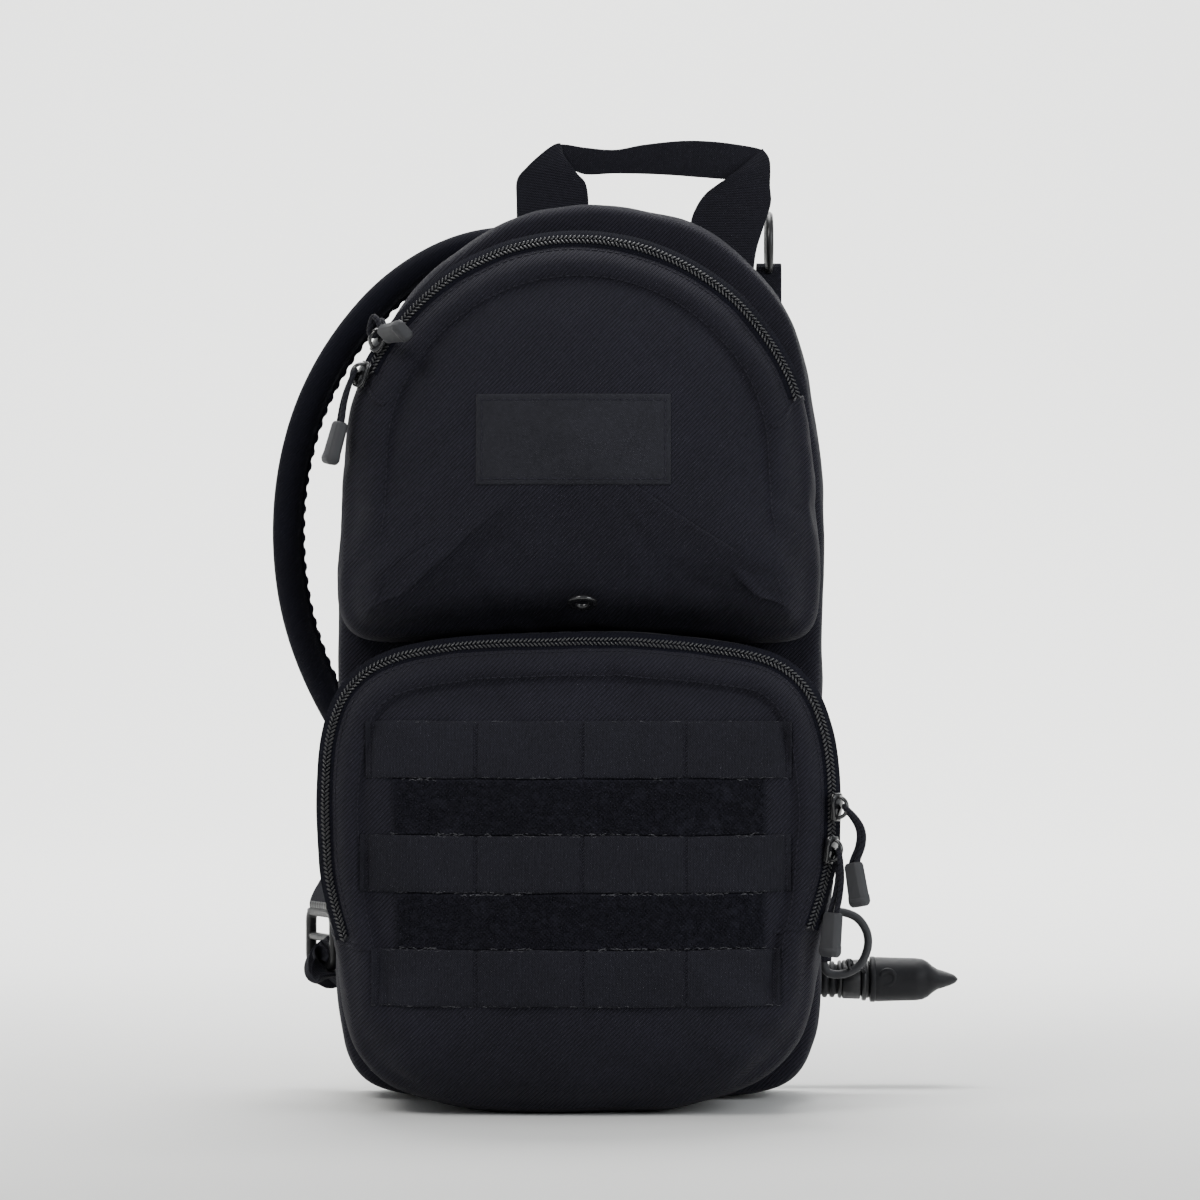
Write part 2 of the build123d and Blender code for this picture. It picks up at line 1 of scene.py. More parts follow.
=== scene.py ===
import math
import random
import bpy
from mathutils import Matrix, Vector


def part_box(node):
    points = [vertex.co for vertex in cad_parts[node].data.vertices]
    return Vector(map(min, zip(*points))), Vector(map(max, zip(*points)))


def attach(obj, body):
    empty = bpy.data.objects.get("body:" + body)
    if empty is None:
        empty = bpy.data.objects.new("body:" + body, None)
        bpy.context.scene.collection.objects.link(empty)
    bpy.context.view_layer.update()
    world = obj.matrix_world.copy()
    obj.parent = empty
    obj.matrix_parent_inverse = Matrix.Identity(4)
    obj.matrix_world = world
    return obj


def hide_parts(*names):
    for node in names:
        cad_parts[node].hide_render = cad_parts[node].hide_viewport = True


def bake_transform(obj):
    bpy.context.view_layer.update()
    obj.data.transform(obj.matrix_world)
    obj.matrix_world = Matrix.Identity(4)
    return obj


bl_info = {
    "name": "Hydration pack",
    "version": (1, 0, 0),
    "blender": (4, 5, 0),
    "location": "View3D > Sidebar > Pack",
    "description": "Builds the visible pieces of a small hydration pack around its engineering model",
    "category": "Object",
}

import bmesh
import bpy
import numpy as np
from mathutils import Matrix, Vector, noise
from mathutils.bvhtree import BVHTree

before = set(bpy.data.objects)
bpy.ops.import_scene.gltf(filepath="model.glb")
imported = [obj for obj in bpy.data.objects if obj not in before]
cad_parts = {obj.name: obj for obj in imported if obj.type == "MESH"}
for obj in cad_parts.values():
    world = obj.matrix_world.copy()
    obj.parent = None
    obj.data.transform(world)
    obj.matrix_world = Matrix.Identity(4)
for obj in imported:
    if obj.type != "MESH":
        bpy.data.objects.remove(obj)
MM = 0.001
made = {}          # finished pieces by name, for operators that build on another's result


# --- Settings a user would change ---
def colour_property(label, what, default):
    return bpy.props.FloatVectorProperty(name=label, description=what, subtype="COLOR", size=3,
                                         min=0.0, max=1.0, default=default)


def length_property(label, what, default):
    return bpy.props.FloatProperty(name=label, description=what, subtype="DISTANCE", unit="LENGTH",
                                   min=0.0, default=default)


class PackColours(bpy.types.PropertyGroup):
    """Base colours of the finishes, linear."""
    cloth: colour_property("Cloth", "Woven cloth of the bag", (0.0087, 0.0083, 0.0123))
    webbing: colour_property("Webbing", "Ribbed webbing", (0.0081, 0.0080, 0.0114))
    pile: colour_property("Loop pile", "Fuzzy loop-fastener strips", (0.0058, 0.0057, 0.0086))
    patch: colour_property("Patch", "Bare patch on the upper pocket", (0.0146, 0.0146, 0.0185))
    mesh: colour_property("Spacer mesh", "Back pads and straps", (0.0095, 0.0097, 0.0125))
    sleeve: colour_property("Tube sleeve", "Cloth sleeve of the drinking tube", (0.0040, 0.0041, 0.0076))
    gloss: colour_property("Gloss black", "Sliders, eyelets and buckles", (0.0100, 0.0100, 0.0110))
    rubber: colour_property("Moulded grey", "Pull ends and side loop", (0.0340, 0.0345, 0.0375))
    valve: colour_property("Valve", "Moulded valve parts", (0.0085, 0.0085, 0.0098))
    lint: colour_property("Lint", "Light fibres and frayed edges", (0.0700, 0.0700, 0.0780))


class PackSizes(bpy.types.PropertyGroup):
    """Sizes of the repeated details."""
    rib_pitch: length_property("Rib pitch", "Distance between two ribs of the webbing", 0.00115)
    webbing_width: length_property("Webbing width", "One-inch webbing", 0.0254)
    tooth_pitch: length_property("Tooth pitch", "Distance between two turns of the zip coil", 0.0019)
    stitch_length: length_property("Stitch", "Length of one stitch", 0.0026)
    stitch_pitch: length_property("Stitch pitch", "Distance between two stitches", 0.0036)
    tube_diameter: length_property("Tube", "Outside diameter of the sleeved tube", 0.014)
    cord_diameter: length_property("Pull cord", "Diameter of a zip pull's cord", 0.0026)


def colours():
    return bpy.context.scene.pack_colours


def sizes():
    return bpy.context.scene.pack_sizes


# --- Shader node groups and materials ---
VECTOR, FLOAT, GEOMETRY = "NodeSocketVector", "NodeSocketFloat", "NodeSocketGeometry"


class Graph:
    """Short hand for building a node tree."""

    def __init__(self, tree):
        self.tree = tree
        self.nodes = tree.nodes

    def add(self, kind, **values):
        node = self.nodes.new(kind)
        for key, value in values.items():
            setattr(node, key, value)
        return node

    def link(self, out, into):
        self.tree.links.new(out, into)
        return out

    def put(self, socket, value):
        if isinstance(value, bpy.types.NodeSocket):
            self.link(value, socket)
        else:
            socket.default_value = value

    def fill(self, node, values):
        for label, value in values.items():
            self.put(node.inputs[label], value)

    def math(self, operation, a, b=0.0, c=0.0):
        node = self.add("ShaderNodeMath", operation=operation)
        for socket, value in zip(node.inputs, (a, b, c)):
            self.put(socket, value)
        return node.outputs[0]

    def spread(self, value, low, high, to_low=0.0, to_high=1.0):
        node = self.add("ShaderNodeMapRange")
        for socket, v in zip(node.inputs, (value, low, high, to_low, to_high)):
            self.put(socket, v)
        return node.outputs[0]

    def mix(self, factor, a, b):
        node = self.add("ShaderNodeMix", data_type="RGBA")
        self.fill(node, {0: factor, 6: a, 7: b})
        return node.outputs[2]

    def noise(self, where, scale, detail=3.0, rough=0.55):
        node = self.add("ShaderNodeTexNoise")
        self.fill(node, {"Vector": where, "Scale": scale, "Detail": detail, "Roughness": rough})
        return node.outputs["Fac"]


def shader_group(name, inputs, outputs):
    """A new group with float or vector sockets; returns its graph and end nodes."""
    tree = bpy.data.node_groups.new(name, "ShaderNodeTree")
    for label, kind, default in inputs:
        socket = tree.interface.new_socket(label, in_out="INPUT", socket_type=kind)
        if default is not None:
            socket.default_value = default
    for label, kind in outputs:
        tree.interface.new_socket(label, in_out="OUTPUT", socket_type=kind)
    graph = Graph(tree)
    return graph, graph.add("NodeGroupInput"), graph.add("NodeGroupOutput")


def weave_group():
    """Threads over and under each other, with a diagonal twill. Out: Height and Thread shade."""
    g, given, out = shader_group("Weave", [("Vector", VECTOR, None), ("Pitch", FLOAT, 0.0007),
        ("Twill", FLOAT, 0.4)], [("Height", FLOAT), ("Shade", FLOAT)])
    split = g.add("ShaderNodeSeparateXYZ")
    g.link(given.outputs["Vector"], split.inputs[0])
    x, y, z = split.outputs
    facing = g.add("ShaderNodeSeparateXYZ")
    g.link(g.add("ShaderNodeNewGeometry").outputs["Normal"], facing.inputs[0])
    across, forward, upward = (g.math("ABSOLUTE", part) for part in facing.outputs)
    on_side = g.math("LESS_THAN", forward, 0.55)
    on_top = g.math("MULTIPLY", on_side, g.math("GREATER_THAN", upward, across))
    # the threads run over the front, the sides and the top each in its own plane
    u = g.math("MULTIPLY_ADD", on_side, g.math("SUBTRACT", y, x), x)
    v = g.math("MULTIPLY_ADD", on_top, g.math("SUBTRACT", x, z), z)
    turn = g.math("DIVIDE", 2 * math.pi, given.outputs["Pitch"])
    warp = g.math("SINE", g.math("MULTIPLY", u, turn))
    weft = g.math("SINE", g.math("MULTIPLY", v, turn))
    cross = g.math("MULTIPLY", warp, weft)
    diagonal = g.math("SINE", g.math("MULTIPLY", g.math("SUBTRACT", u, v), g.math("MULTIPLY", turn, 0.5)))
    twill = g.math("MULTIPLY", diagonal, given.outputs["Twill"])
    height = g.math("ADD", cross, twill)
    uneven = g.noise(given.outputs["Vector"], 900.0, 2.0)
    g.link(g.math("MULTIPLY_ADD", height, 0.5, 0.5), out.inputs["Height"])
    shade = g.math("MULTIPLY_ADD", height, 0.25, g.math("MULTIPLY_ADD", uneven, 0.9, 0.05))
    g.link(shade, out.inputs["Shade"])
    return g.tree


def mottle_group():
    """Slow cloudy change of shade that handled cloth has."""
    g, given, out = shader_group("Mottle", [("Vector", VECTOR, None)],
                                 [("Shade", FLOAT)])
    slow = g.noise(given.outputs["Vector"], 22.0, 4.0, 0.6)
    fine = g.noise(given.outputs["Vector"], 160.0, 3.0, 0.7)
    g.link(g.math("MULTIPLY_ADD", slow, 0.65, g.math("MULTIPLY", fine, 0.35)), out.inputs["Shade"])
    return g.tree


def specks_group():
    """Sparse dust specks. Out: Mask."""
    g, given, out = shader_group("Specks", [("Vector", VECTOR, None), ("Amount", FLOAT, 0.5)],
        [("Mask", FLOAT)])
    cells = g.add("ShaderNodeTexVoronoi")
    g.link(given.outputs["Vector"], cells.inputs["Vector"])
    cells.inputs["Scale"].default_value = 95.0
    near = g.spread(cells.outputs["Distance"], 0.045, 0.02)
    rare = g.noise(given.outputs["Vector"], 40.0, 1.0)
    limit = g.math("SUBTRACT", 0.86, g.math("MULTIPLY", given.outputs["Amount"], 0.3))
    g.link(g.math("MULTIPLY", near, g.math("GREATER_THAN", rare, limit)), out.inputs["Mask"])
    return g.tree


def grain_group():
    """Fine moulded grain and scuffs for plastic and rubber. Out: Height and Scuff."""
    g, given, out = shader_group("Grain", [("Vector", VECTOR, None)],
                                 [("Height", FLOAT), ("Scuff", FLOAT)])
    g.link(g.noise(given.outputs["Vector"], 1400.0, 2.0), out.inputs["Height"])
    scuff = g.noise(given.outputs["Vector"], 120.0, 5.0, 0.7)
    g.link(g.spread(scuff, 0.45, 0.75), out.inputs["Scuff"])
    return g.tree


GROUPS = {}
MATERIALS = {}


def placed(graph, name, **values):
    node = graph.add("ShaderNodeGroup")
    node.node_tree = GROUPS[name]
    for key, value in values.items():
        graph.put(node.inputs[key.capitalize()], value)
    return node


def new_material(name):
    material = bpy.data.materials.new(name)
    material.use_nodes = True
    graph = Graph(material.node_tree)
    shader = material.node_tree.nodes["Principled BSDF"]
    where = graph.add("ShaderNodeTexCoord").outputs["Object"]
    MATERIALS[name] = material
    return graph, shader, where


def rgba(colour, gain=1.0):
    return (*[min(1.0, c * gain) for c in colour], 1.0)


def bump(graph, shader, height, strength, distance):
    node = graph.add("ShaderNodeBump")
    graph.fill(node, {"Strength": strength, "Distance": distance, "Height": height})
    graph.link(node.outputs[0], shader.inputs["Normal"])


def cloth_material(name, colour, pitch=0.0010, twill=1.1, contrast=0.7, dust=0.45, rough=0.86,
                   relief=0.00026, sheen=0.025):
    graph, shader, where = new_material(name)
    weave = placed(graph, "weave", vector=where, pitch=pitch, twill=twill)
    mottle = placed(graph, "mottle", vector=where)
    specks = placed(graph, "specks", vector=where, amount=dust)
    shade = graph.math("MULTIPLY_ADD", weave.outputs["Shade"], contrast,
                       graph.math("MULTIPLY", mottle.outputs["Shade"], 1.0 - contrast * 0.5))
    mixed = graph.mix(graph.spread(shade, 0.25, 1.0), rgba(colour, 0.42), rgba(colour, 1.9))
    dusty = graph.mix(graph.math("MULTIPLY", specks.outputs["Mask"], 0.5), mixed, rgba(colours().lint))
    uneven = graph.spread(mottle.outputs["Shade"], 0.2, 0.8, rough - 0.06, rough + 0.06)
    graph.fill(shader, {"Base Color": dusty, "Roughness": uneven, "Sheen Weight": sheen,
                        "Sheen Roughness": 0.45, "Specular IOR Level": 0.12})
    bump(graph, shader, weave.outputs["Height"], 0.8, relief)
    return MATERIALS[name]


def moulded_material(name, colour, rough, scuffed=0.15, relief=0.00003, specular=0.5, coat=0.0):
    graph, shader, where = new_material(name)
    grain = placed(graph, "grain", vector=where)
    scuff = graph.math("MULTIPLY", grain.outputs["Scuff"], scuffed)
    graph.fill(shader, {"Base Color": graph.mix(scuff, rgba(colour), rgba([0.8 * c + 0.03 for c in colour])),
        "Roughness": graph.math("MULTIPLY_ADD", grain.outputs["Scuff"], 0.18, rough),
        "Specular IOR Level": specular, "Coat Weight": coat})
    bump(graph, shader, grain.outputs["Height"], 0.5, relief)
    return MATERIALS[name]


def clear_film_material(name, colour):
    graph, shader, where = new_material(name)
    grain = placed(graph, "grain", vector=where)
    graph.fill(shader, {"Base Color": rgba(colour), "Alpha": 0.6,
                        "Roughness": graph.spread(grain.outputs["Scuff"], 0.0, 1.0, 0.12, 0.3)})
    return MATERIALS[name]


def build_materials():
    GROUPS.update(weave=weave_group(), mottle=mottle_group(), specks=specks_group(), grain=grain_group())
    c = colours()
    cloth_material("cloth", c.cloth)
    cloth_material("webbing", c.webbing, pitch=0.0011, twill=0.1, contrast=0.7, dust=0.45, rough=0.8,
        sheen=0.03)
    cloth_material("pile", c.pile, pitch=0.0019, twill=0.0, contrast=0.8, dust=0.6, rough=0.97,
                   relief=0.0004, sheen=0.01)
    cloth_material("patch", c.patch, pitch=0.0008, twill=0.0, contrast=0.5, dust=0.4, sheen=0.03)
    cloth_material("mesh", c.mesh, pitch=0.0024, twill=0.0, contrast=0.9, rough=0.85, relief=0.0006)
    cloth_material("sleeve", c.sleeve, pitch=0.0008, twill=0.7, contrast=0.45, dust=0.1, rough=0.92, sheen=0.0)
    cloth_material("cord", c.webbing, pitch=0.0012, twill=1.0, contrast=0.7, dust=0.2, rough=0.7)
    cloth_material("thread", [v * 1.5 for v in c.cloth], pitch=0.0005, twill=0.8, dust=0.0, rough=0.6)
    cloth_material("lint", c.lint, pitch=0.0006, twill=0.5, dust=0.0, rough=0.9)
    moulded_material("zip_coil", [v * 1.5 for v in c.gloss], 0.26, 0.2)
    moulded_material("gloss_black", c.gloss, 0.16, 0.25, coat=0.3)
    moulded_material("buckle", [v * 0.7 for v in c.gloss], 0.34, 0.2, specular=0.4)
    moulded_material("grey_rubber", c.rubber, 0.58, 0.3, relief=0.00006, specular=0.22)
    moulded_material("valve_plastic", c.valve, 0.40, 0.25, specular=0.35)
    moulded_material("valve_rubber", [v * 1.25 for v in c.valve], 0.48, 0.25, relief=0.00005, specular=0.16)
    moulded_material("reservoir_plastic", (0.05, 0.16, 0.35), 0.3)
    clear_film_material("reservoir_film", (0.35, 0.55, 0.7))


# --- Mesh helpers. Shapes are worked out in millimetres and become metres here. ---
def unit(rows):
    """A vector, or each row of an array, at length one."""
    rows = np.asarray(rows, float)
    return rows / (np.linalg.norm(rows) if rows.ndim == 1 else np.linalg.norm(rows, axis=1)[:, None])


def new_object(name, data):
    """An object at the origin, in the scene."""
    thing = bpy.data.objects.new(name, data)
    bpy.context.scene.collection.objects.link(thing)
    return thing


def mesh_piece(name, points, faces, material, smooth=True):
    """A mesh object at the origin, from points in millimetres."""
    mesh = bpy.data.meshes.new(name)
    mesh.from_pydata([tuple(float(v) * MM for v in p) for p in points], [], [tuple(f) for f in faces])
    mesh.validate()
    if smooth:
        mesh.polygons.foreach_set("use_smooth", [True] * len(mesh.polygons))
    piece = new_object(name, mesh)
    if material:
        mesh.materials.append(MATERIALS[material])
    return piece


def outward(piece):
    """Merges doubles and turns every face outwards."""
    bm = bmesh.new()
    bm.from_mesh(piece.data)
    bmesh.ops.remove_doubles(bm, verts=bm.verts, dist=1e-6)
    bmesh.ops.recalc_face_normals(bm, faces=bm.faces)
    bm.to_mesh(piece.data)
    bm.free()
    return piece


def baked(piece):
    """The piece's modifiers applied, and its own old mesh dropped."""
    graph = bpy.context.evaluated_depsgraph_get()
    graph.update()
    result = bpy.data.meshes.new_from_object(piece.evaluated_get(graph), preserve_all_data_layers=True,
                                             depsgraph=graph)
    piece.modifiers.clear()
    piece.data = result
    return piece


def subdivided(piece, levels=1):
    modifier = piece.modifiers.new("Subdivision", "SUBSURF")
    modifier.levels = levels
    modifier.render_levels = levels
    return baked(piece)


def bevelled(piece, width, segments=2, angle=35.0):
    modifier = piece.modifiers.new("Bevel", "BEVEL")
    modifier.width = width * MM
    modifier.segments = segments
    modifier.limit_method = "ANGLE"
    modifier.angle_limit = math.radians(angle)
    return baked(piece)


def joined(name, pieces):
    """Several meshes as one piece."""
    bm = bmesh.new()
    materials = []
    for piece in pieces:
        start = len(bm.faces)
        bm.from_mesh(piece.data)
        bm.faces.ensure_lookup_table()
        slot = piece.data.materials[0] if piece.data.materials else None
        if slot not in materials:
            materials.append(slot)
        for face in bm.faces[start:]:
            face.material_index = materials.index(slot)
    mesh = bpy.data.meshes.new(name)
    bm.to_mesh(mesh)
    bm.free()
    for slot in materials:
        mesh.materials.append(slot)
    for piece in pieces:
        bpy.data.objects.remove(piece)
    return new_object(name, mesh)


def between(a, b, c, d, t):
    """A point of the smooth curve from b to c, with their neighbours a and d."""
    return 0.5 * (2 * b + (c - a) * t + (2 * a - 5 * b + 4 * c - d) * t * t
                  + (3 * b - a - 3 * c + d) * t ** 3)


def smooth_loop(points, count):
    """A closed smooth curve through the points, as count evenly spaced points."""
    p = np.array(points, float)
    n = len(p)
    fine = []
    for i in range(n):
        a, b, c, d = p[i - 1], p[i], p[(i + 1) % n], p[(i + 2) % n]
        fine += [between(a, b, c, d, t) for t in np.linspace(0, 1, 24, endpoint=False)]
    return even(np.array(fine), count, True)


def distances(line):
    """How far along an open line each of its points lies."""
    return np.concatenate([[0], np.cumsum(np.linalg.norm(np.diff(line, axis=0), axis=1))])


def even(line, count, closed=False, measured=None):
    """Points at equal steps along a polyline, which may be measured on its first columns only."""
    line = np.array(line, float)
    if closed:
        line = np.vstack([line, line[:1]])
    along = distances(line[:, :measured])
    where = np.linspace(0, along[-1], count + 1 if closed else count)
    if closed:
        where = where[:-1]
    return np.stack([np.interp(where, along, column) for column in line.T], axis=1)


def at_depth(flat, depth):
    """A flat outline of (x, z) as places at a depth, which may differ from point to point."""
    return np.stack([flat[:, 0], np.broadcast_to(np.asarray(depth, float), len(flat)), flat[:, 1]], 1)


def loop_normals(loop):
    """Outward normals of a closed loop that runs clockwise or anticlockwise."""
    ahead = unit(np.roll(loop, -1, 0) - np.roll(loop, 1, 0))
    normal = np.stack([ahead[:, 1], -ahead[:, 0]], 1)
    if ((loop - loop.mean(0)) * normal).sum() < 0:
        normal = -normal
    return normal


def inset(loop, distance):
    """The loop moved inwards, then evened a little so that tight corners stay clean."""
    moved = loop - loop_normals(loop) * distance
    for _ in range(3 if distance > 4 else 0):
        moved = 0.5 * moved + 0.25 * (np.roll(moved, 1, 0) + np.roll(moved, -1, 0))
    return moved


def lofted(name, rings, material, close_ends=True):
    """A skin over rings of equal length. Each ring is an array of x, y, z."""
    rings = [np.array(r) for r in rings]
    n = len(rings[0])
    points = np.vstack(rings)
    faces = []
    for k in range(len(rings) - 1):
        for i in range(n):
            j = (i + 1) % n
            faces.append((k * n + i, k * n + j, (k + 1) * n + j, (k + 1) * n + i))
    if close_ends:
        last = (len(rings) - 1) * n
        for i in range((n - 1) // 2):
            j = n - 1 - i
            rung = (i, i + 1, j - 1, j) if j - i > 2 else (i, i + 1, j)
            faces.append(rung[::-1])
            faces.append(tuple(last + k for k in rung))
    return outward(mesh_piece(name, points, faces, material))


def frames_along(line, up=None):
    """Unit tangent, side and up vectors at each point of an open line, without twist."""
    line = np.array(line, float)
    ahead = unit(np.gradient(line, axis=0))
    ups = []
    guide = np.array(up if up is not None else (0.0, 0.0, 1.0), float)
    for i, t in enumerate(ahead):
        if isinstance(up, np.ndarray) and up.ndim == 2:
            guide = up[i]
        elif i and up is None:
            guide = ups[-1]
        u = guide - t * np.dot(guide, t)
        if np.linalg.norm(u) < 1e-6:
            u = np.cross(t, (0.0, 1.0, 0.0))
        ups.append(u / np.linalg.norm(u))
    ups = np.array(ups)
    return ahead, np.cross(ahead, ups), ups


def swept(name, line, section, material, up=None, scale=None, closed=False):
    """A section of (side, up) points carried along a line."""
    line = np.array(line, float)
    _, side, above = frames_along(line, up)
    section = np.array(section, float)
    rings = []
    for i, p in enumerate(line):
        s = section * (1.0 if scale is None else scale[i])
        rings.append(p + s[:, :1] * side[i] + s[:, 1:] * above[i])
    if closed:
        rings.append(rings[0])
    return lofted(name, rings, material, close_ends=not closed)


def circle(radius, count=16, squash=1.0):
    angles = np.linspace(0, 2 * math.pi, count, endpoint=False)
    return np.stack([radius * np.cos(angles), radius * squash * np.sin(angles)], 1)


def rounded_section(width, height, radius, count=4):
    """Rounded rectangle section, width along side, height along up."""
    points = []
    for cx, cy, start in ((1, 1, 0), (-1, 1, 90), (-1, -1, 180), (1, -1, 270)):
        for k in range(count + 1):
            a = math.radians(start + 90 * k / count)
            points.append((cx * (width / 2 - radius) + radius * math.cos(a),
                           cy * (height / 2 - radius) + radius * math.sin(a)))
    return points


def turned(name, profile, origin, material, axis=(1, 0, 0), segments=40, ribs=None):
    """A turned piece from (along, radius) pairs on an axis; ribs adds knurling by angle."""
    axis = unit(axis)
    side = unit(np.cross(axis, (0, 0, 1.0) if abs(axis[2]) < 0.9 else (0, 1.0, 0)))
    above = np.cross(axis, side)
    rings = []
    for along, radius in profile:
        ring = []
        for k in range(segments):
            a = 2 * math.pi * k / segments
            r = radius * (1 + (ribs(a, along) if ribs else 0.0))
            ring.append(np.array(origin) + axis * along + r * (math.cos(a) * side + math.sin(a) * above))
        rings.append(ring)
    return lofted(name, rings, material)


def wavy(x, y, z, size, seed):
    """Smooth pseudo-random value from -1 to 1 at a place in millimetres."""
    return noise.noise(Vector((x / size + seed * 7.3, y / size - seed * 3.1, z / size + seed * 1.7)))


def roughened(piece, amount, size, seed, fade=None):
    """Moves each point along its normal by smooth noise, in millimetres."""
    mesh = piece.data
    normals = [v.normal.copy() for v in mesh.vertices]
    for v, n in zip(mesh.vertices, normals):
        p = v.co / MM
        strength = amount * (fade(p) if fade else 1.0)
        value = wavy(p.x, p.y, p.z, size, seed) + 0.5 * wavy(p.x, p.y, p.z, size * 0.45, seed + 3)
        v.co += n * (value * strength * MM)
    return piece


# --- Geometry Nodes: small pieces repeated at marked places ---
def repeat_tree():
    """Copies one small piece to every marked point, turned to its 'along' and 'out' directions."""
    tree = bpy.data.node_groups.new("Repeat at marks", "GeometryNodeTree")
    for label, way, kind, default in (("Geometry", "INPUT", GEOMETRY, None),
            ("Piece", "INPUT", "NodeSocketObject", None), ("Size", "INPUT", FLOAT, 1.0),
            ("Size change", "INPUT", FLOAT, 0.0), ("Seed", "INPUT", "NodeSocketInt", None),
            ("Material", "INPUT", "NodeSocketMaterial", None), ("Geometry", "OUTPUT", GEOMETRY, None)):
        socket = tree.interface.new_socket(label, in_out=way, socket_type=kind)
        if default is not None:
            socket.default_value = default
    graph = Graph(tree)
    given, out = graph.add("NodeGroupInput").outputs, graph.add("NodeGroupOutput")
    source = graph.add("GeometryNodeObjectInfo")
    graph.fill(source, {"As Instance": True, "Object": given["Piece"]})
    axes = graph.add("FunctionNodeAxesToRotation", primary_axis="Z", secondary_axis="X")
    for label, socket in (("out", "Primary Axis"), ("along", "Secondary Axis")):
        mark = graph.add("GeometryNodeInputNamedAttribute", data_type="FLOAT_VECTOR")
        mark.inputs["Name"].default_value = label
        graph.link(mark.outputs["Attribute"], axes.inputs[socket])
    chance = graph.add("FunctionNodeRandomValue")
    least, most = (graph.math(way, given["Size"], given["Size change"]) for way in ("SUBTRACT", "ADD"))
    graph.fill(chance, {2: least, 3: most, "Seed": given["Seed"]})
    copy = graph.add("GeometryNodeInstanceOnPoints")
    graph.fill(copy, {"Points": given["Geometry"], "Instance": source.outputs["Geometry"],
                      "Rotation": axes.outputs[0], "Scale": chance.outputs[1]})
    real = graph.add("GeometryNodeRealizeInstances")
    graph.link(copy.outputs[0], real.inputs[0])
    finish = graph.add("GeometryNodeSetMaterial")
    graph.fill(finish, {"Geometry": real.outputs[0], "Material": given["Material"]})
    graph.link(finish.outputs[0], out.inputs[0])
    return tree


TREES = {}


def repeated(name, places, along, out, seed_piece, material, size=1.0, change=0.0, seed=1):
    """One mesh of copies of seed_piece, at places in millimetres."""
    piece = mesh_piece(name, places, [], material)
    for label, vectors in (("along", along), ("out", out)):
        attribute = piece.data.attributes.new(label, "FLOAT_VECTOR", "POINT")
        attribute.data.foreach_set("vector", np.array(vectors, np.float32).ravel())
    if "repeat" not in TREES:
        TREES["repeat"] = repeat_tree()
    tree = TREES["repeat"]
    modifier = piece.modifiers.new("Repeat", "NODES")
    modifier.node_group = tree
    values = {"Piece": seed_piece, "Size": size, "Size change": change, "Seed": seed,
        "Material": MATERIALS[material]}
    for item in tree.interface.items_tree:
        if item.item_type == "SOCKET" and item.in_out == "INPUT" and item.name in values:
            modifier[item.identifier] = values[item.name]
    baked(piece)
    piece.data.materials.clear()
    piece.data.materials.append(MATERIALS[material])
    piece.data.polygons.foreach_set("material_index", [0] * len(piece.data.polygons))
    piece.data.polygons.foreach_set("use_smooth", [True] * len(piece.data.polygons))
    return piece


def seed_capsule(name, length, radius, squash=1.0, sides=6):
    """Small capsule along X, used as a stitch, a coil turn or a fibre."""
    profile = [(-0.5, 0.0), (-0.46, 0.55), (-0.36, 0.95), (0.36, 0.95), (0.46, 0.55), (0.5, 0.0)]
    rings = []
    for t, r in profile:
        ring = []
        for k in range(sides):
            a = 2 * math.pi * k / sides
            ring.append((t * length, radius * max(r, 0.02) * math.cos(a),
                radius * squash * max(r, 0.02) * math.sin(a)))
        rings.append(ring)
    piece = lofted(name, rings, None)
    piece.hide_render = True
    return piece


def drop(piece):
    bpy.data.objects.remove(piece)


def stitches(name, line, out, body="pack", pitch=None, lift=0.15, material="thread", both_ways=False):
    """A row of stitches along a line of places in millimetres, with out vectors."""
    s = sizes()
    step = (pitch or s.stitch_pitch) / MM
    line = np.array(line, float)
    count = max(2, int(line_length(line) / step))
    both = np.hstack([line, np.broadcast_to(out, line.shape)])
    spaced = even(both, count, measured=3)
    places, outs = spaced[:, :3], spaced[:, 3:]
    ahead, _, above = frames_along(places, outs)
    seed_piece = seed_capsule(name + "_seed", s.stitch_length / MM, 0.36, 0.8)
    piece = repeated(name, places + above * lift, ahead, above, seed_piece, material, 1.0, 0.06, 3)
    drop(seed_piece)
    return ride_new(piece, body, "body_fabric")


def ride_new(piece, body, slot, *nodes):
    """The piece rides on a body and may stand for engineering nodes, which it hides. slot is not used."""
    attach(piece, body)
    if nodes:
        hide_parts(*nodes)
    made[piece.name] = piece
    return piece


# --- Stage: floor, light and camera ---
def light(name, where, towards, size, power, colour=(1.0, 1.0, 1.0)):
    lamp = bpy.data.lights.new(name, "AREA")
    lamp.shape = "DISK"
    lamp.size = size
    lamp.energy = power
    lamp.color = colour
    holder = new_object(name, lamp)
    holder.location = where
    holder.rotation_euler = (Vector(towards) - Vector(where)).to_track_quat("-Z", "Y").to_euler()


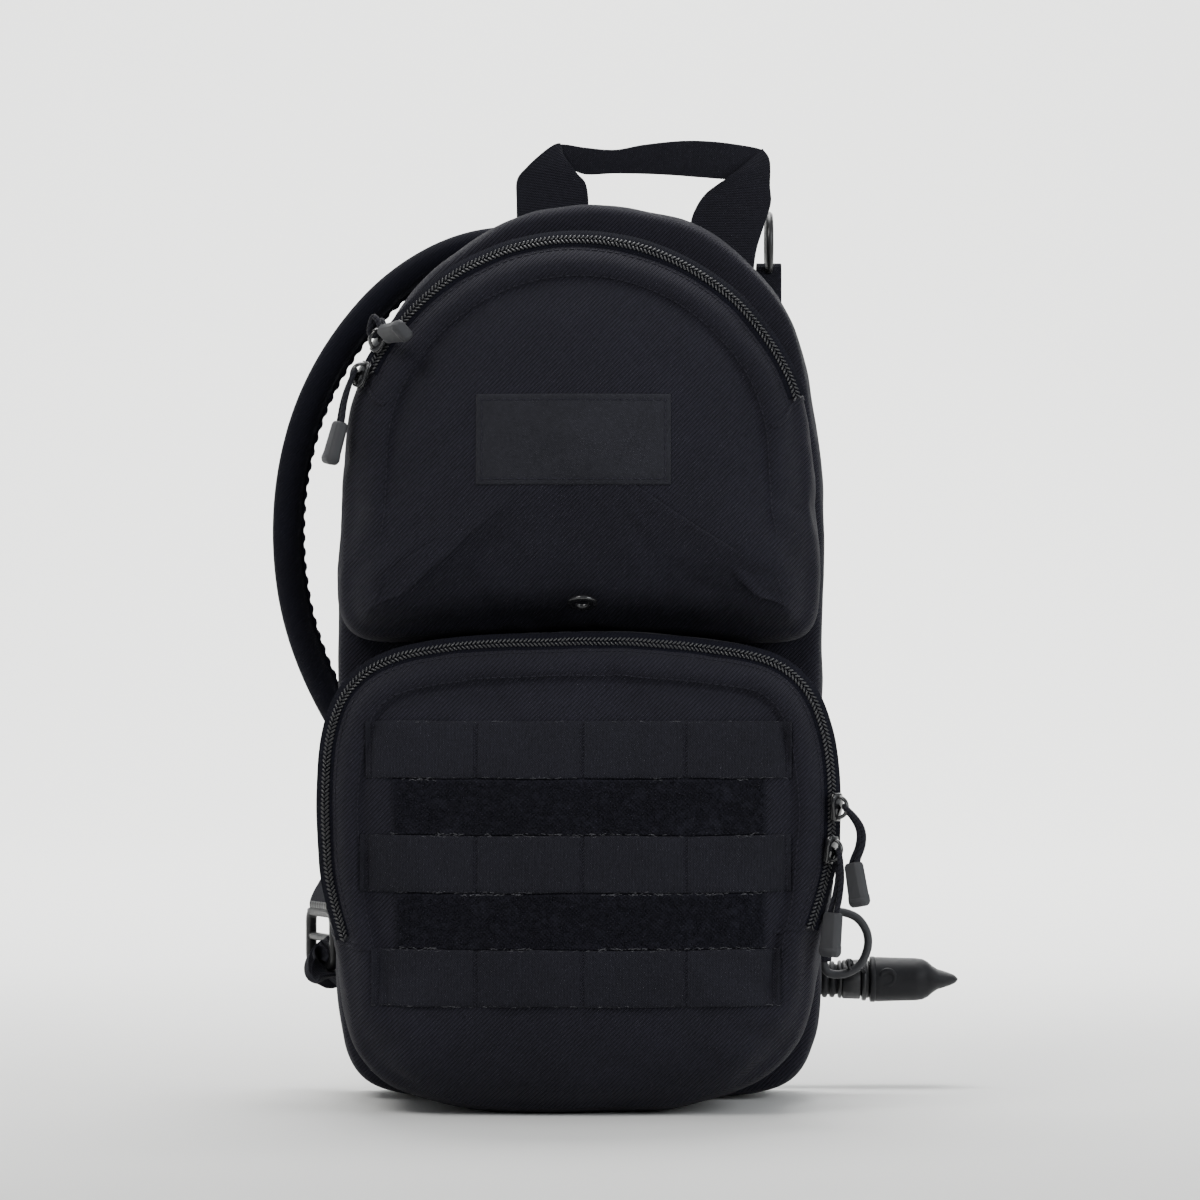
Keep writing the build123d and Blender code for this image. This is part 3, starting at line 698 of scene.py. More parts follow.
class PACK_OT_stage(bpy.types.Operator):
    """Pale floor that curves up into a backdrop, its paper painted darker towards the front as shade; soft
    studio light and the camera
    """
    bl_idname = "pack.stage"
    bl_label = "Stage"

    def execute(self, context):
        near, far, wide, turn = -4.4, 3.6, 4.8, 1.2
        profile = [(near, 0.0), (-1.2, 0.0), (0.4, 0.0), (1.6, 0.0)]
        profile += [(far - turn + turn * math.sin(a), turn - turn * math.cos(a))
                    for a in np.linspace(0.05, math.pi / 2, 16)]
        profile += [(far, 2.2), (far, 4.4)]
        points = [(x, y, z) for y, z in profile for x in (-wide, wide)]
        faces = [(2 * i, 2 * i + 1, 2 * i + 3, 2 * i + 2) for i in range(len(profile) - 1)]
        floor = mesh_piece("studio_floor", [[v / MM for v in p] for p in points], faces, None)
        graph, shader, where = new_material("studio_paper_painted_shade")
        split = graph.add("ShaderNodeSeparateXYZ")
        graph.link(where, split.inputs[0])
        # painted shade: the paper runs from dark near the camera to light at the backdrop, standing in for the
        # fall of the light, plus a little random unevenness
        painted_front_shade = graph.math("MULTIPLY_ADD", graph.noise(where, 3.0, 2.0), 0.15, graph.spread(split.outputs[1],
            -0.6, 1.0))
        graph.link(graph.mix(painted_front_shade, (0.52, 0.52, 0.505, 1), (0.88, 0.88, 0.86, 1)), shader.inputs["Base Color"])
        shader.inputs["Roughness"].default_value = 0.9
        floor.data.materials.append(MATERIALS["studio_paper_painted_shade"])

        scene = context.scene
        world = bpy.data.worlds.new("studio")
        world.use_nodes = True
        world.node_tree.nodes["Background"].inputs[0].default_value = (0.93, 0.96, 1.0, 1.0)
        world.node_tree.nodes["Background"].inputs[1].default_value = 0.55
        scene.world = world
        middle = (0.0, 0.0, 0.22)
        light("key_from_above_left", (-1.1, -1.4, 1.9), middle, 1.1, 36.0, (1.0, 0.985, 0.96))
        light("fill_right", (1.5, -1.1, 0.9), middle, 1.2, 21.0, (0.94, 0.97, 1.0))
        light("top", (0.1, 0.25, 1.9), middle, 1.0, 10.0)
        light("backdrop", (0.0, 1.4, 3.0), (0.0, 3.6, 0.7), 2.4, 250.0)
        light("fill_behind", (0.9, 2.6, 1.7), middle, 2.0, 16.0)

        camera = bpy.data.cameras.new("camera")
        camera.lens = 150.0
        camera.sensor_width = 36.0
        camera.clip_end = 20.0
        holder = new_object("camera", camera)
        holder.location = (0.010, -2.32, 0.232)
        holder.rotation_euler = (math.radians(90.0), 0.0, 0.0)
        scene.camera = holder
        return {"FINISHED"}


# --- Drinking tube and its valve ---
TUBE_ROUTE = (
    (4, 61, 404), (-22, 61, 404), (-56, 61, 401), (-88, 61, 383), (-112, 61, 356),
    (-129, 62, 325), (-138, 64, 291), (-140, 68, 257), (-136, 75, 224), (-125, 84, 192),
    (-107, 93, 160), (-84, 100, 128), (-57, 105, 98), (-28, 107, 73), (2, 104, 56),
    (32, 96, 47), (60, 85, 47), (84, 80, 50), (108, 80, 50),
)


def nurbs(name, route, diameter, material=None, resolution=12):
    """A round cord on one smooth spline whose control points are the route, in millimetres."""
    data = bpy.data.curves.new(name, "CURVE")
    data.dimensions = "3D"
    spline = data.splines.new("NURBS")
    spline.points.add(len(route) - 1)
    for point, place in zip(spline.points, route):
        point.co = (*[v * MM for v in place], 1.0)
    spline.order_u = 3
    spline.use_endpoint_u = True
    data.resolution_u = resolution
    spline.resolution_u = resolution
    data.bevel_depth = diameter / 2
    data.bevel_resolution = 5
    data.use_fill_caps = True
    piece = new_object(name, data)
    if material:
        data.materials.append(MATERIALS[material])
    return piece


def line_of(cord):
    """Points along a cord's own spline, in millimetres."""
    data = cord.data.copy()
    data.bevel_depth = 0.0
    probe = new_object("probe", data)
    graph = bpy.context.evaluated_depsgraph_get()
    graph.update()
    mesh = bpy.data.meshes.new_from_object(probe.evaluated_get(graph))
    points = np.array([v.co for v in mesh.vertices]) / MM
    bpy.data.objects.remove(probe)
    bpy.data.meshes.remove(mesh)
    bpy.data.curves.remove(data)
    return points


def line_length(line):
    return float(np.linalg.norm(np.diff(line, axis=0), axis=1).sum())


AXIS_Y, AXIS_Z = 80.0, 50.0
VALVE_AXIS = np.array((0.0, AXIS_Y, AXIS_Z))
VALVE_START = 108.0        # where the sleeve of the tube ends on the valve's axis


def valve_part(name, profile, material, ribs=None, segments=48):
    return turned(name, profile, VALVE_AXIS, material, segments=segments, ribs=ribs)


def bite_cover():
    """Soft cover: a round tube whose end narrows to a blunt fin, with a moulded panel either side."""
    rings = []
    start, tip = 139.3, 181.3
    along = (0.0, 1.5, 4.0, 12.0, 22.0, 25.5, 28.0, 30.0, 32.5, 35.5, 38.5, 40.6, 41.6, 42.0)
    half_high = (10.0, 10.5, 10.7, 10.4, 10.2, 9.7, 8.4, 6.6, 4.9, 4.0, 3.0, 2.1, 1.3, 0.8)
    half_wide = (10.0, 10.5, 10.7, 10.4, 10.2, 9.9, 9.6, 9.2, 8.6, 7.6, 6.0, 4.2, 2.8, 1.8)
    for x in np.linspace(0.0, 42.0, 64):
        high, wide = np.interp(x, along, half_high), np.interp(x, along, half_wide)
        ring = []
        for k in range(48):
            a = 2 * math.pi * k / 48
            dent = 0.9 * math.exp(-((x - 27.0) / 3.0) ** 2) * max(0.0, -math.cos(a)) ** 4
            ring.append((start + x, AXIS_Y + (wide - dent) * math.cos(a), AXIS_Z + (high - dent) * math.sin(a)))
        rings.append(ring)
    rings.append([(tip + 0.3, AXIS_Y + (y - AXIS_Y) * 0.6, AXIS_Z + (z - AXIS_Z) * 0.6) for _, y,
        z in rings[-1]])
    # open mouth with an inner wall over the bite valve
    inner = [[(x, AXIS_Y + r * math.cos(2 * math.pi * k / 48), AXIS_Z + r * math.sin(2 * math.pi * k / 48))
              for k in range(48)] for x, r in ((165.6, 8.0), (139.8, 8.0), (139.3, 8.5))]
    shell = lofted("valve_cover_shell", inner + rings, "valve_rubber")
    # raised round boss on the side of the cover nearest to the viewer
    boss = turned("cover_boss", [(-1.2, 0.1), (-1.2, 4.6), (0.0, 4.6), (0.55, 4.1), (0.6, 2.6), (0.2, 2.2),
        (0.2, 0.1)], (147.5, 70.1, 51.5), "valve_rubber", axis=(0, -1, 0), segments=28)
    rim = turned("cover_rim", [(0, 10.1), (0, 10.75), (0.6, 10.95), (1.8, 10.95), (2.4, 10.7), (2.4, 10.1)],
                 VALVE_AXIS + np.array((139.5, 0, 0)), "valve_rubber", segments=56)
    return joined("bite_valve_cover", [shell, boss, rim])


class PACK_OT_drinking_tube(bpy.types.Operator):
    """Sleeved tube with its sewn seam, and the valve on its end"""
    bl_idname = "pack.drinking_tube"
    bl_label = "Drinking tube and valve"

    def execute(self, context):
        s = sizes()
        tube = nurbs("tube_sleeve", TUBE_ROUTE, s.tube_diameter, "sleeve")
        line = line_of(tube)
        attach(tube, "pack")
        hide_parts("drinking_tube")

        # serrated seam allowance along the inner side of the sleeve's bend
        dense = even(line, 340)[8:-10]
        ahead, _, _ = frames_along(dense)
        towards = np.array((0.0, 60.0, 230.0)) - dense
        inner = unit(towards - ahead * (towards * ahead).sum(1)[:, None])
        base = dense + inner * (s.tube_diameter / MM / 2 - 0.5)
        lean = np.cross(ahead, inner)
        points, faces = [], []
        for i in range(len(dense)):
            tall = 1.5 + (0.8 if i % 4 in (1, 2) else 0.0)
            for p in (base[i] - lean[i] * 0.45, base[i] + inner[i] * tall - lean[i] * 0.25,
                      base[i] + inner[i] * tall + lean[i] * 0.25, base[i] + lean[i] * 0.45):
                points.append(p)
        for i in range(len(dense) - 1):
            for a, b in ((0, 1), (1, 2), (2, 3), (3, 0)):
                faces.append((4 * i + a, 4 * i + b, 4 * i + 4 + b, 4 * i + 4 + a))
        faces += [(0, 1, 2, 3), tuple(4 * (len(dense) - 1) + k for k in (3, 2, 1, 0))]
        seam = outward(mesh_piece("tube_sleeve_seam", points, faces, "sleeve", smooth=False))
        ride_new(seam, "pack", "sleeve_fabric")

        grooves = []
        for k in range(4):
            at = VALVE_START + 1.2 + k * 3.55
            grooves += [(at, 7.4), (at + 0.3, 8.35), (at + 0.9, 8.7), (at + 1.9, 8.7), (at + 2.5, 8.35),
                (at + 2.8, 7.4)]
        sleeve = valve_part("ribbed_collar", [(VALVE_START - 1.5, 6.7), (VALVE_START - 1.0, 7.4)] + grooves
                            + [(123.4, 7.3), (123.9, 7.0)], "valve_rubber")
        ride_new(sleeve, "pack", "valve_plastic", "ribbed_sleeve")
        throat = valve_part("shutoff_throat", [(123.9, 6.8), (124.0, 8.4), (124.6, 9.1), (125.6, 9.1),
            (125.8, 7.9), (135.3, 7.9), (135.5, 8.7), (138.2, 9.1), (138.9, 8.9), (139.0, 6.9)],
            "valve_plastic")
        ride_new(throat, "pack", "valve_plastic", "shutoff_body")
        collar = valve_part("shutoff_grip", [(126.05, 8.1), (126.1, 8.8), (126.6, 9.2), (134.2, 9.45),
                                             (134.8, 9.1), (134.9, 8.1)], "valve_plastic", segments=80,
                            ribs=lambda a, x: 0.02 * max(0.0, math.cos(10 * a)) * (126.3 < x < 134.5))
        ride_new(collar, "shutoff", "valve_plastic", "shutoff_collar")
        bite = valve_part("bite_valve_stem", [(139.05, 6.0), (139.2, 7.0), (156, 7.1), (158.0, 6.4),
            (163.5, 5.6), (164.6, 4.6), (164.9, 0.5)], "valve_rubber")
        ride_new(bite, "pack", "valve_rubber", "bite_valve")
        ride_new(bite_cover(), "cover", "valve_rubber", "valve_cover")

        # leash: a flat ring round the valve and a short cord to the side loop
        ring = turned("leash_ring", [(135.7, 9.25), (135.5, 9.9), (136.0, 10.3), (137.2, 10.3), (137.6, 9.9),
            (137.4, 9.25)], VALVE_AXIS, "valve_plastic", segments=48)
        line = smooth_open([(136.6, 71.2, 53.6), (135.2, 67.0, 55.6), (132.4, 60.0, 57.6), (129.6, 53.4, 59.2),
            (127.9, 49.2, 60.6), (127.2, 45.6, 61.6), (127.4, 43.6, 59.6), (128.4, 44.2, 57.2)], 60)
        cord = swept("leash_cord", line, circle(0.85, 10), "valve_plastic")
        knot = turned("leash_knot", [(-1.6, 0.3), (-1.4, 1.5), (-0.5, 2.0), (0.5, 2.0), (1.4, 1.5), (1.6, 0.3)],
                      (128.0, 48.0, 60.3), "valve_plastic", axis=(0.3, -0.8, 0.5), segments=16)
        ride_new(joined("valve_leash_tie", [ring, cord, knot]), "pack", "pull_cord", "valve_leash")

        line_length(line_of(tube)) * MM
        return {"FINISHED"}


def smooth_open(points, count):
    """An open smooth curve through the points, evenly spaced."""
    p = np.array(points, float)
    p = np.vstack([2 * p[0] - p[1], p, 2 * p[-1] - p[-2]])
    fine = []
    for i in range(1, len(p) - 2):
        a, b, c, d = p[i - 1], p[i], p[i + 1], p[i + 2]
        fine += [between(a, b, c, d, t) for t in np.linspace(0, 1, 20, endpoint=(i == len(p) - 3))]
    return even(np.array(fine), count)


# --- Zip sliders and their pulls ---
# each zip: centre height, arc radius, depth of the chain's middle
ZIPS = {"upper": (292.0, 107.0, -36.0), "lower": (145.0, 116.0, -70.0)}
# each pull: slider angle round the arc, and the eye that its cord turns about (x, z)
PULLS = {"upper_a": (147.0, (-95.357, 353.925)), "upper_b": (156.5, (-104.27, 337.338)),
         "lower_a": (-3.0, (122.532, 138.578)), "lower_b": (-12.5, (119.792, 118.443))}


def arc_place(zip_name, degrees, above=0.0, aside=0.0):
    centre, radius, depth = ZIPS[zip_name]
    a = math.radians(degrees)
    return np.array(((radius + above) * math.cos(a), depth + aside, centre + (radius + above) * math.sin(a)))


def local_piece(piece, origin, along, side, above):
    """Moves a mesh made in local (along, side, above) millimetres to its place."""
    m = np.stack([along, side, above], 1)
    for v in piece.data.vertices:
        v.co = Vector((np.array(origin) + m @ (np.array(v.co) / MM)) * MM)
    return piece


def plate(name, outline, low, high, material, bevel=0.4):
    """A flat plate from an outline of local (along, side), between two heights."""
    n = len(outline)
    points = [(x, y, low) for x, y in outline] + [(x, y, high) for x, y in outline]
    faces = [tuple(range(n)), tuple(range(2 * n - 1, n - 1, -1))]
    faces += [(i, n + i, n + (i + 1) % n, (i + 1) % n) for i in range(n)]
    return bevelled(outward(mesh_piece(name, points, faces, material)), bevel)


def slider(name, zip_name, degrees):
    """Metal slider: shaped top plate, side cheeks and round bail."""
    a = math.radians(degrees)
    lean = math.radians(34.0)
    radial = np.array((math.cos(a), 0.0, math.sin(a)))
    above = radial * math.cos(lean) + np.array((0.0, -math.sin(lean), 0.0))
    side = radial * math.sin(lean) + np.array((0.0, math.cos(lean), 0.0))
    along = np.array((-math.sin(a), 0.0, math.cos(a)))
    origin = arc_place(zip_name, degrees, -0.9, -2.0)
    outline = [(6.4, -2.4), (6.4, 2.4), (4.4, 4.1), (1.0, 4.3), (-3.2, 3.1), (-6.3, 2.9), (-6.3, -2.9),
        (-3.2, -3.1), (1.0, -4.3), (4.4, -4.1)]
    top = plate(name + "_plate", outline, 1.3, 2.7, "gloss_black", 0.45)
    cheeks = [plate(f"{name}_cheek{k}", [(x, y * 0.93 + k * 0.2) for x, y in half], 0.15, 1.6, "gloss_black",
        0.25) for k, half in enumerate(([(6.0, 2.2), (6.0, 3.4), (4.2, 4.2), (-3.0, 3.3), (-6.0, 3.1),
        (-6.0, 2.2)], [(6.0, -2.2), (6.0, -3.4), (4.2, -4.2), (-3.0, -3.3), (-6.0, -3.1), (-6.0, -2.2)]))]
    angles = np.linspace(-0.35, math.pi + 0.35, 26)
    bow = [(4.7 * math.cos(t), 0.0, 2.5 + 4.7 * math.sin(t)) for t in angles]
    bail = swept(name + "_bail", bow, [(1.15 * x, 0.82 * y) for x, y in circle(1.0, 12)], "gloss_black",
                 up=np.array([(math.cos(t), 0.0, math.sin(t)) for t in angles]))
    pieces = [local_piece(p, origin, along, side, above) for p in (top, *cheeks, bail)]
    return joined(name, pieces)


# each pull: how far its legs bow aside, how far they spread, how far its end is twisted (degrees),
# its direction, and the length of the legs
PULL_WAYS = {"upper_a": (-8.0, 1.0, 48.0, (0.47, -0.80, 0.03), 10.0),
             "upper_b": (1.2, 0.6, 24.0, (-0.26, -0.05, -0.954), 24.0),
             "lower_a": (-6.0, 1.0, 44.0, (0.15, -0.10, -0.98), 25.0),
             "lower_b": (-1.6, 0.5, 48.0, (-0.09, -0.06, -0.99), 27.5)}


def pull_end(name, origin, along, side, above):
    """Moulded end: a bevelled block that widens to a lipped foot."""
    rings = []
    for x, w, t in ((0.0, 3.5, 1.9), (0.5, 4.2, 2.5), (1.6, 4.5, 2.85), (14.6, 4.9, 2.95), (15.2, 5.15, 2.98),
                    (16.2, 5.2, 3.0), (18.6, 5.0, 2.95), (19.4, 4.6, 2.6), (20.0, 3.8, 1.8)):
        cut = min(1.35, t * 0.55)
        ring = [(x, y, z) for y, z in ((w - cut, t), (w, t - cut), (w, -t + cut), (w - cut, -t), (-w + cut, -t),
            (-w, -t + cut), (-w, t - cut), (-w + cut, t))]
        rings.append(ring)
    body = bevelled(lofted(name + "_block", rings, "grey_rubber"), 0.25, 2, 25)
    lip_outline = ((3.9, 3.08), (5.2, 1.78), (5.2, -1.78), (3.9, -3.08), (-3.9, -3.08), (-5.2, -1.78),
                   (-5.2, 1.78), (-3.9, 3.08))
    lip = lofted(name + "_lip", [
        [(16.05 + dx, y * (5.0 + g) / 5.2, z * (3.08 + g) / 3.08) for y, z in lip_outline]
        for dx, g in ((0, -0.15), (0.3, 0.05), (2.0, 0.05), (2.3, -0.15))], "grey_rubber")
    return joined(name, [local_piece(p, origin, along, side, above) for p in (body, lip)])


class PACK_OT_zip_pulls(bpy.types.Operator):
    """Four sliders, each with a cord loop through its bail and a moulded end"""
    bl_idname = "pack.zip_pulls"
    bl_label = "Sliders and pulls"

    def execute(self, context):
        s = sizes()
        for key, (degrees, eye_xz) in PULLS.items():
            zip_name, letter = key.split("_")
            depth = ZIPS[zip_name][2]
            runner = slider(f"{key}_slider", zip_name, degrees)
            ride_new(runner, f"{zip_name}_slider_{letter}", "slider_metal", f"{zip_name}_zip_slider_{letter}")
            away = np.array((eye_xz[0], 0.0, eye_xz[1] - ZIPS[zip_name][0]))
            eye = np.array((eye_xz[0], depth - 3.6, eye_xz[1])) - unit(away) * 2.6
            bulge, spread, twist, way, leg = PULL_WAYS[key]
            along = unit(way)
            across = unit(np.cross(np.array((0.0, 1.0, 0.0)), along))
            level = np.cross(along, across)

            def turned_side(t):
                a = math.radians(twist) * min(1.0, max(0.0, t / leg))
                return level * math.cos(a) + across * math.sin(a)
            legs = [[], []]
            for t, half in ((leg + 1.5, 1.9), (leg - 1, 1.8), (leg * 0.72, 1.7 + spread * 0.3),
                    (leg * 0.45, 1.9 + spread * 0.4), (leg * 0.22, 2.5), (0.6, 2.6), (-0.6, 1.1)):
                bow = across * bulge * math.sin(math.pi * min(1.0, max(0.0, t / leg)))
                for sign, points in zip((1, -1), legs):
                    points.append(eye + along * t + bow + turned_side(t) * half * sign)
            route, middle, back = legs[0], eye - along * 0.6, legs[1][::-1]
            cord = nurbs(f"{key}_pull_cord", [tuple(p) for p in (*route, middle, *back)], s.cord_diameter,
                "cord", 8)
            body = f"{zip_name}_pull_{letter}"
            ride_new(cord, body, "pull_cord", f"{zip_name}_zip_pull_cord_{letter}")
            broad = turned_side(leg)
            end = pull_end(f"{key}_pull_tab", eye + along * leg, along, broad, np.cross(along, broad))
            ride_new(end, body, "pull_rubber", f"{zip_name}_zip_pull_end_{letter}")
            line = line_of(cord)
        return {"FINISHED"}


# --- Cloth shells of the bag ---
MAIN_OUTLINE = [
    (0, 0.5), (-45, 0.5), (-84, 3), (-103, 13), (-111, 38), (-112.5, 80), (-112.5, 120), (-112, 165),
    (-111.5, 206), (-110, 246), (-105, 284), (-101, 318), (-95, 345), (-80, 371), (-61, 390), (-30, 409),
    (6, 415.5), (36, 411.5), (58, 404), (84, 384), (97, 367), (104, 350), (109, 322), (113, 285), (113.5, 246),
    (113, 206), (113, 165), (113, 120), (112.5, 80), (111, 38), (103, 13), (84, 3), (45, 0.5),
]
UPPER_ARC = [(107 * math.cos(math.radians(a)), 292 + 107 * math.sin(math.radians(a)))
             for a in range(180, -1, -15)]
UPPER_OUTLINE = [
    (0, 218.4), (-46, 217.0), (-82, 213.8), (-101, 215.6), (-108.5, 227), (-109.3, 250), (-108, 273), *UPPER_ARC,
    (108.2, 273), (110, 250), (109.2, 227), (102, 215.6), (83, 213.8), (46, 217),
]
LOWER_OUTLINE = [
    (0, 1), (-40, 2), (-63, 6), (-84, 13), (-98, 26), (-104.5, 44), (-108, 70), (-112.5, 95), (-115.5, 125),
    (-115.5, 150), (-112, 176), (-103, 195), (-84, 207.5), (-48, 213.5), (0, 215.5), (48, 213.5), (85, 207.5),
    (103, 195), (112, 176), (116, 150), (116, 125), (113, 95), (108, 70), (104, 45), (96, 28), (82, 15),
    (60, 7), (38, 2.5),
]
# profiles: inset from the outline, depth, and whether the ring is a seam that the cloth is pinned at
UPPER_PROFILE = [
    (2.0, -3.0, 1), (0.2, -9.0, 0), (-0.8, -17.0, 0), (-0.9, -24.0, 0), (-0.5, -30.0, 0), (0.6, -34.4, 1),
    (2.8, -37.2, 0), (5.6, -39.0, 1), (8.6, -43.0, 0), (12.0, -46.4, 0), (15.6, -48.3, 0), (19.0, -48.2, 0),
    (21.6, -45.8, 1), (23.6, -47.6, 0), (26.0, -51.6, 0), (29.5, -55.6, 0),
]
LOWER_PROFILE = [
    (2.5, -3.0, 1), (0.6, -10.0, 0), (-0.9, -22.0, 0), (-1.4, -36.0, 0), (-1.2, -50.0, 0), (-0.5, -60.0, 0),
    (0.5, -66.6, 1), (2.7, -70.0, 0), (5.4, -72.2, 1), (8.4, -77.0, 0), (11.8, -80.6, 0), (15.2, -82.0, 0),
    (18.2, -81.0, 0), (20.2, -78.2, 1), (21.8, -80.4, 0), (24.6, -84.2, 0), (28.5, -87.6, 0),
]
LOOP_POINTS = 240       # points round a pocket or the bag
FLOOR_GAP = 0.0004      # metres that the cloth keeps above the floor


def pocket(name, outline, profile, front, heart, crease_from, crease_full, plain_gain):
    """A padded pocket: rings over the profile, then domed rings that shrink towards the heart (x, z)."""
    loop = smooth_loop(outline, LOOP_POINTS)
    weight = np.clip((loop[:, 1] - crease_from) / (crease_full - crease_from), 0.0, 1.0)
    weight = weight * weight * (3 - 2 * weight)
    rings, pinned = [], []
    first = next(p for p in profile if p[0] > 3.0 and p[1] < -30)
    last_d, last_y, _ = profile[-1]
    for d, y, pin in profile:
        t = min(1.0, max(0.0, (d - first[0]) / (last_d - first[0])))
        plain = first[1] + (last_y - first[1]) * (1 - (1 - t) ** plain_gain)
        depth = plain + (y - plain) * (np.maximum(weight, 0.1) if d > first[0] else np.ones(len(loop)))
        flat = inset(loop, d)
        rings.append(at_depth(flat, depth))
        pinned.append(pin)
    base = rings[-1]
    heart = np.array((heart[0], 0.0, heart[1]))
    for k in (0.93, 0.85, 0.76, 0.66, 0.56, 0.46, 0.36, 0.26, 0.16, 0.07):
        ring = heart + (base - heart) * np.array((k, 1.0, k))
        ring[:, 1] = base[:, 1] + (front - base[:, 1]) * (1 - k ** 2.3)
        rings.append(ring)
        pinned.append(0)
    # the dome is evened, so that it has no ridge from corner to corner
    depths = np.array([ring[:, 1] for ring in rings])
    start = len(profile) - 2
    for _ in range(90):
        around = 0.5 * (np.roll(depths, 1, 1) + np.roll(depths, -1, 1))
        depths[start:-1] = 0.4 * depths[start:-1] + 0.3 * around[start:-1] + 0.15 * (depths[start - 1:-2]
            + depths[start + 1:])
        depths[-1] = depths[-1].mean()
    for ring, depth in zip(rings, depths):
        ring[:, 1] = depth
    skin = lofted(name, rings, "cloth")
    marks = [i for k, pin in enumerate(pinned) if pin for i in range(k * LOOP_POINTS, (k + 1) * LOOP_POINTS)]
    pins = [Vector(p) * MM for p in np.vstack(rings)[marks]]
    return skin, loop, pins


def sculpted(piece, strokes):
    """Soft folds and dents: each stroke runs from (x, z) to (x, z) with its depth and half width."""
    for v in piece.data.vertices:
        if v.normal.y > 0.3:
            continue
        x, z = v.co.x / MM, v.co.z / MM
        for (ax, az), (bx, bz), depth, width in strokes:
            long = (bx - ax) ** 2 + (bz - az) ** 2
            t = ((x - ax) * (bx - ax) + (z - az) * (bz - az)) / long
            if -0.15 < t < 1.15:
                px, pz = ax + (bx - ax) * t, az + (bz - az) * t
                across = math.hypot(x - px, z - pz) / width
                if across < 3:
                    fade = math.sin(math.pi * (t + 0.15) / 1.3) ** 0.8
                    v.co.y += depth * fade * math.exp(-across * across) * MM
    piece.data.update()
    return piece


def relaxed(piece, pins, pressure=1.2, slack=0.004, frames=14, cap=3.0):
    """Lets the cloth swell and pucker between its seams, and keeps each point near its start."""
    scene = bpy.context.scene
    from_place = {tuple(round(c * 1e5) for c in p) for p in pins}
    held = [v.index for v in piece.data.vertices if tuple(round(c * 1e5) for c in v.co) in from_place]
    group = piece.vertex_groups.new(name="seams")
    group.add(held, 1.0, "REPLACE")
    start = np.array([v.co for v in piece.data.vertices])
    cloth = piece.modifiers.new("Cloth", "CLOTH")
    s = cloth.settings
    s.quality = 6
    s.mass = 0.25
    s.tension_stiffness = s.compression_stiffness = s.shear_stiffness = 20
    s.bending_stiffness = 0.4
    s.vertex_group_mass = group.name
    s.use_pressure = True
    s.uniform_pressure_force = pressure
    s.effector_weights.gravity = 0.0
    s.shrink_min = -slack
    cloth.point_cache.frame_start = 1
    cloth.point_cache.frame_end = frames
    for frame_number in range(1, frames + 1):
        scene.frame_set(frame_number)
    graph = bpy.context.evaluated_depsgraph_get()
    ended = np.array([v.co for v in piece.evaluated_get(graph).data.vertices])
    piece.modifiers.remove(cloth)
    piece.vertex_groups.clear()
    scene.frame_set(1)
    if len(ended) != len(start) or not np.isfinite(ended).all():
        raise RuntimeError(piece.name + ": the cloth came out broken")
    moved = ended - start
    far = np.linalg.norm(moved, axis=1)[:, None]
    moved *= np.minimum(1.0, cap * MM / np.maximum(far, 1e-9))
    print(f"CLOTH {piece.name}: held {len(held)}, largest move {far.max() / MM:.1f} mm")
    for v, p in zip(piece.data.vertices, start + moved):
        v.co = p
    piece.data.update()
    return piece


SURFACES = {}


def surface(piece):
    """A search tree of the piece, to lay other pieces on it."""
    if piece.name not in SURFACES:
        bm = bmesh.new()
        bm.from_mesh(piece.data)
        SURFACES[piece.name] = BVHTree.FromBMesh(bm)
        bm.free()
    return SURFACES[piece.name]


def front_of(piece, x, z):
    """Depth and normal of the piece's front at (x, z), in millimetres."""
    place, normal, _, _ = surface(piece).ray_cast(Vector((x, -300.0, z)) * MM, Vector((0, 1, 0)))
    if place is None:
        place, normal, _, _ = surface(piece).find_nearest(Vector((x, -80.0, z)) * MM)
    return place.y / MM, np.array(normal)


def snapped(piece, line, lift):
    """Places moved onto the piece's skin and lifted off it, with the skin's normals."""
    places, outs = [], []
    for p in line:
        place, normal, _, _ = surface(piece).find_nearest(Vector(p) * MM)
        places.append(np.array(place) / MM + np.array(normal) * lift)
        outs.append(np.array(normal))
    return np.array(places), np.array(outs)


def part_of_loop(loop, distance, depth, keep):
    """The stretch of an inset outline where keep(x, z) holds, as one open line at a depth."""
    line = inset(loop, distance)
    good = np.array([keep(x, z) for x, z in line])
    start = next(i for i in range(len(line)) if good[i] and not good[i - 1])
    order = [(start + k) % len(line) for k in range(len(line))]
    order = order[:next(k for k, i in enumerate(order) if not good[i]) if not good.all() else None]
    return np.array([(line[i][0], depth, line[i][1]) for i in order])


def in_front(p):
    return 1.0 if p.y < -8 else 0.2


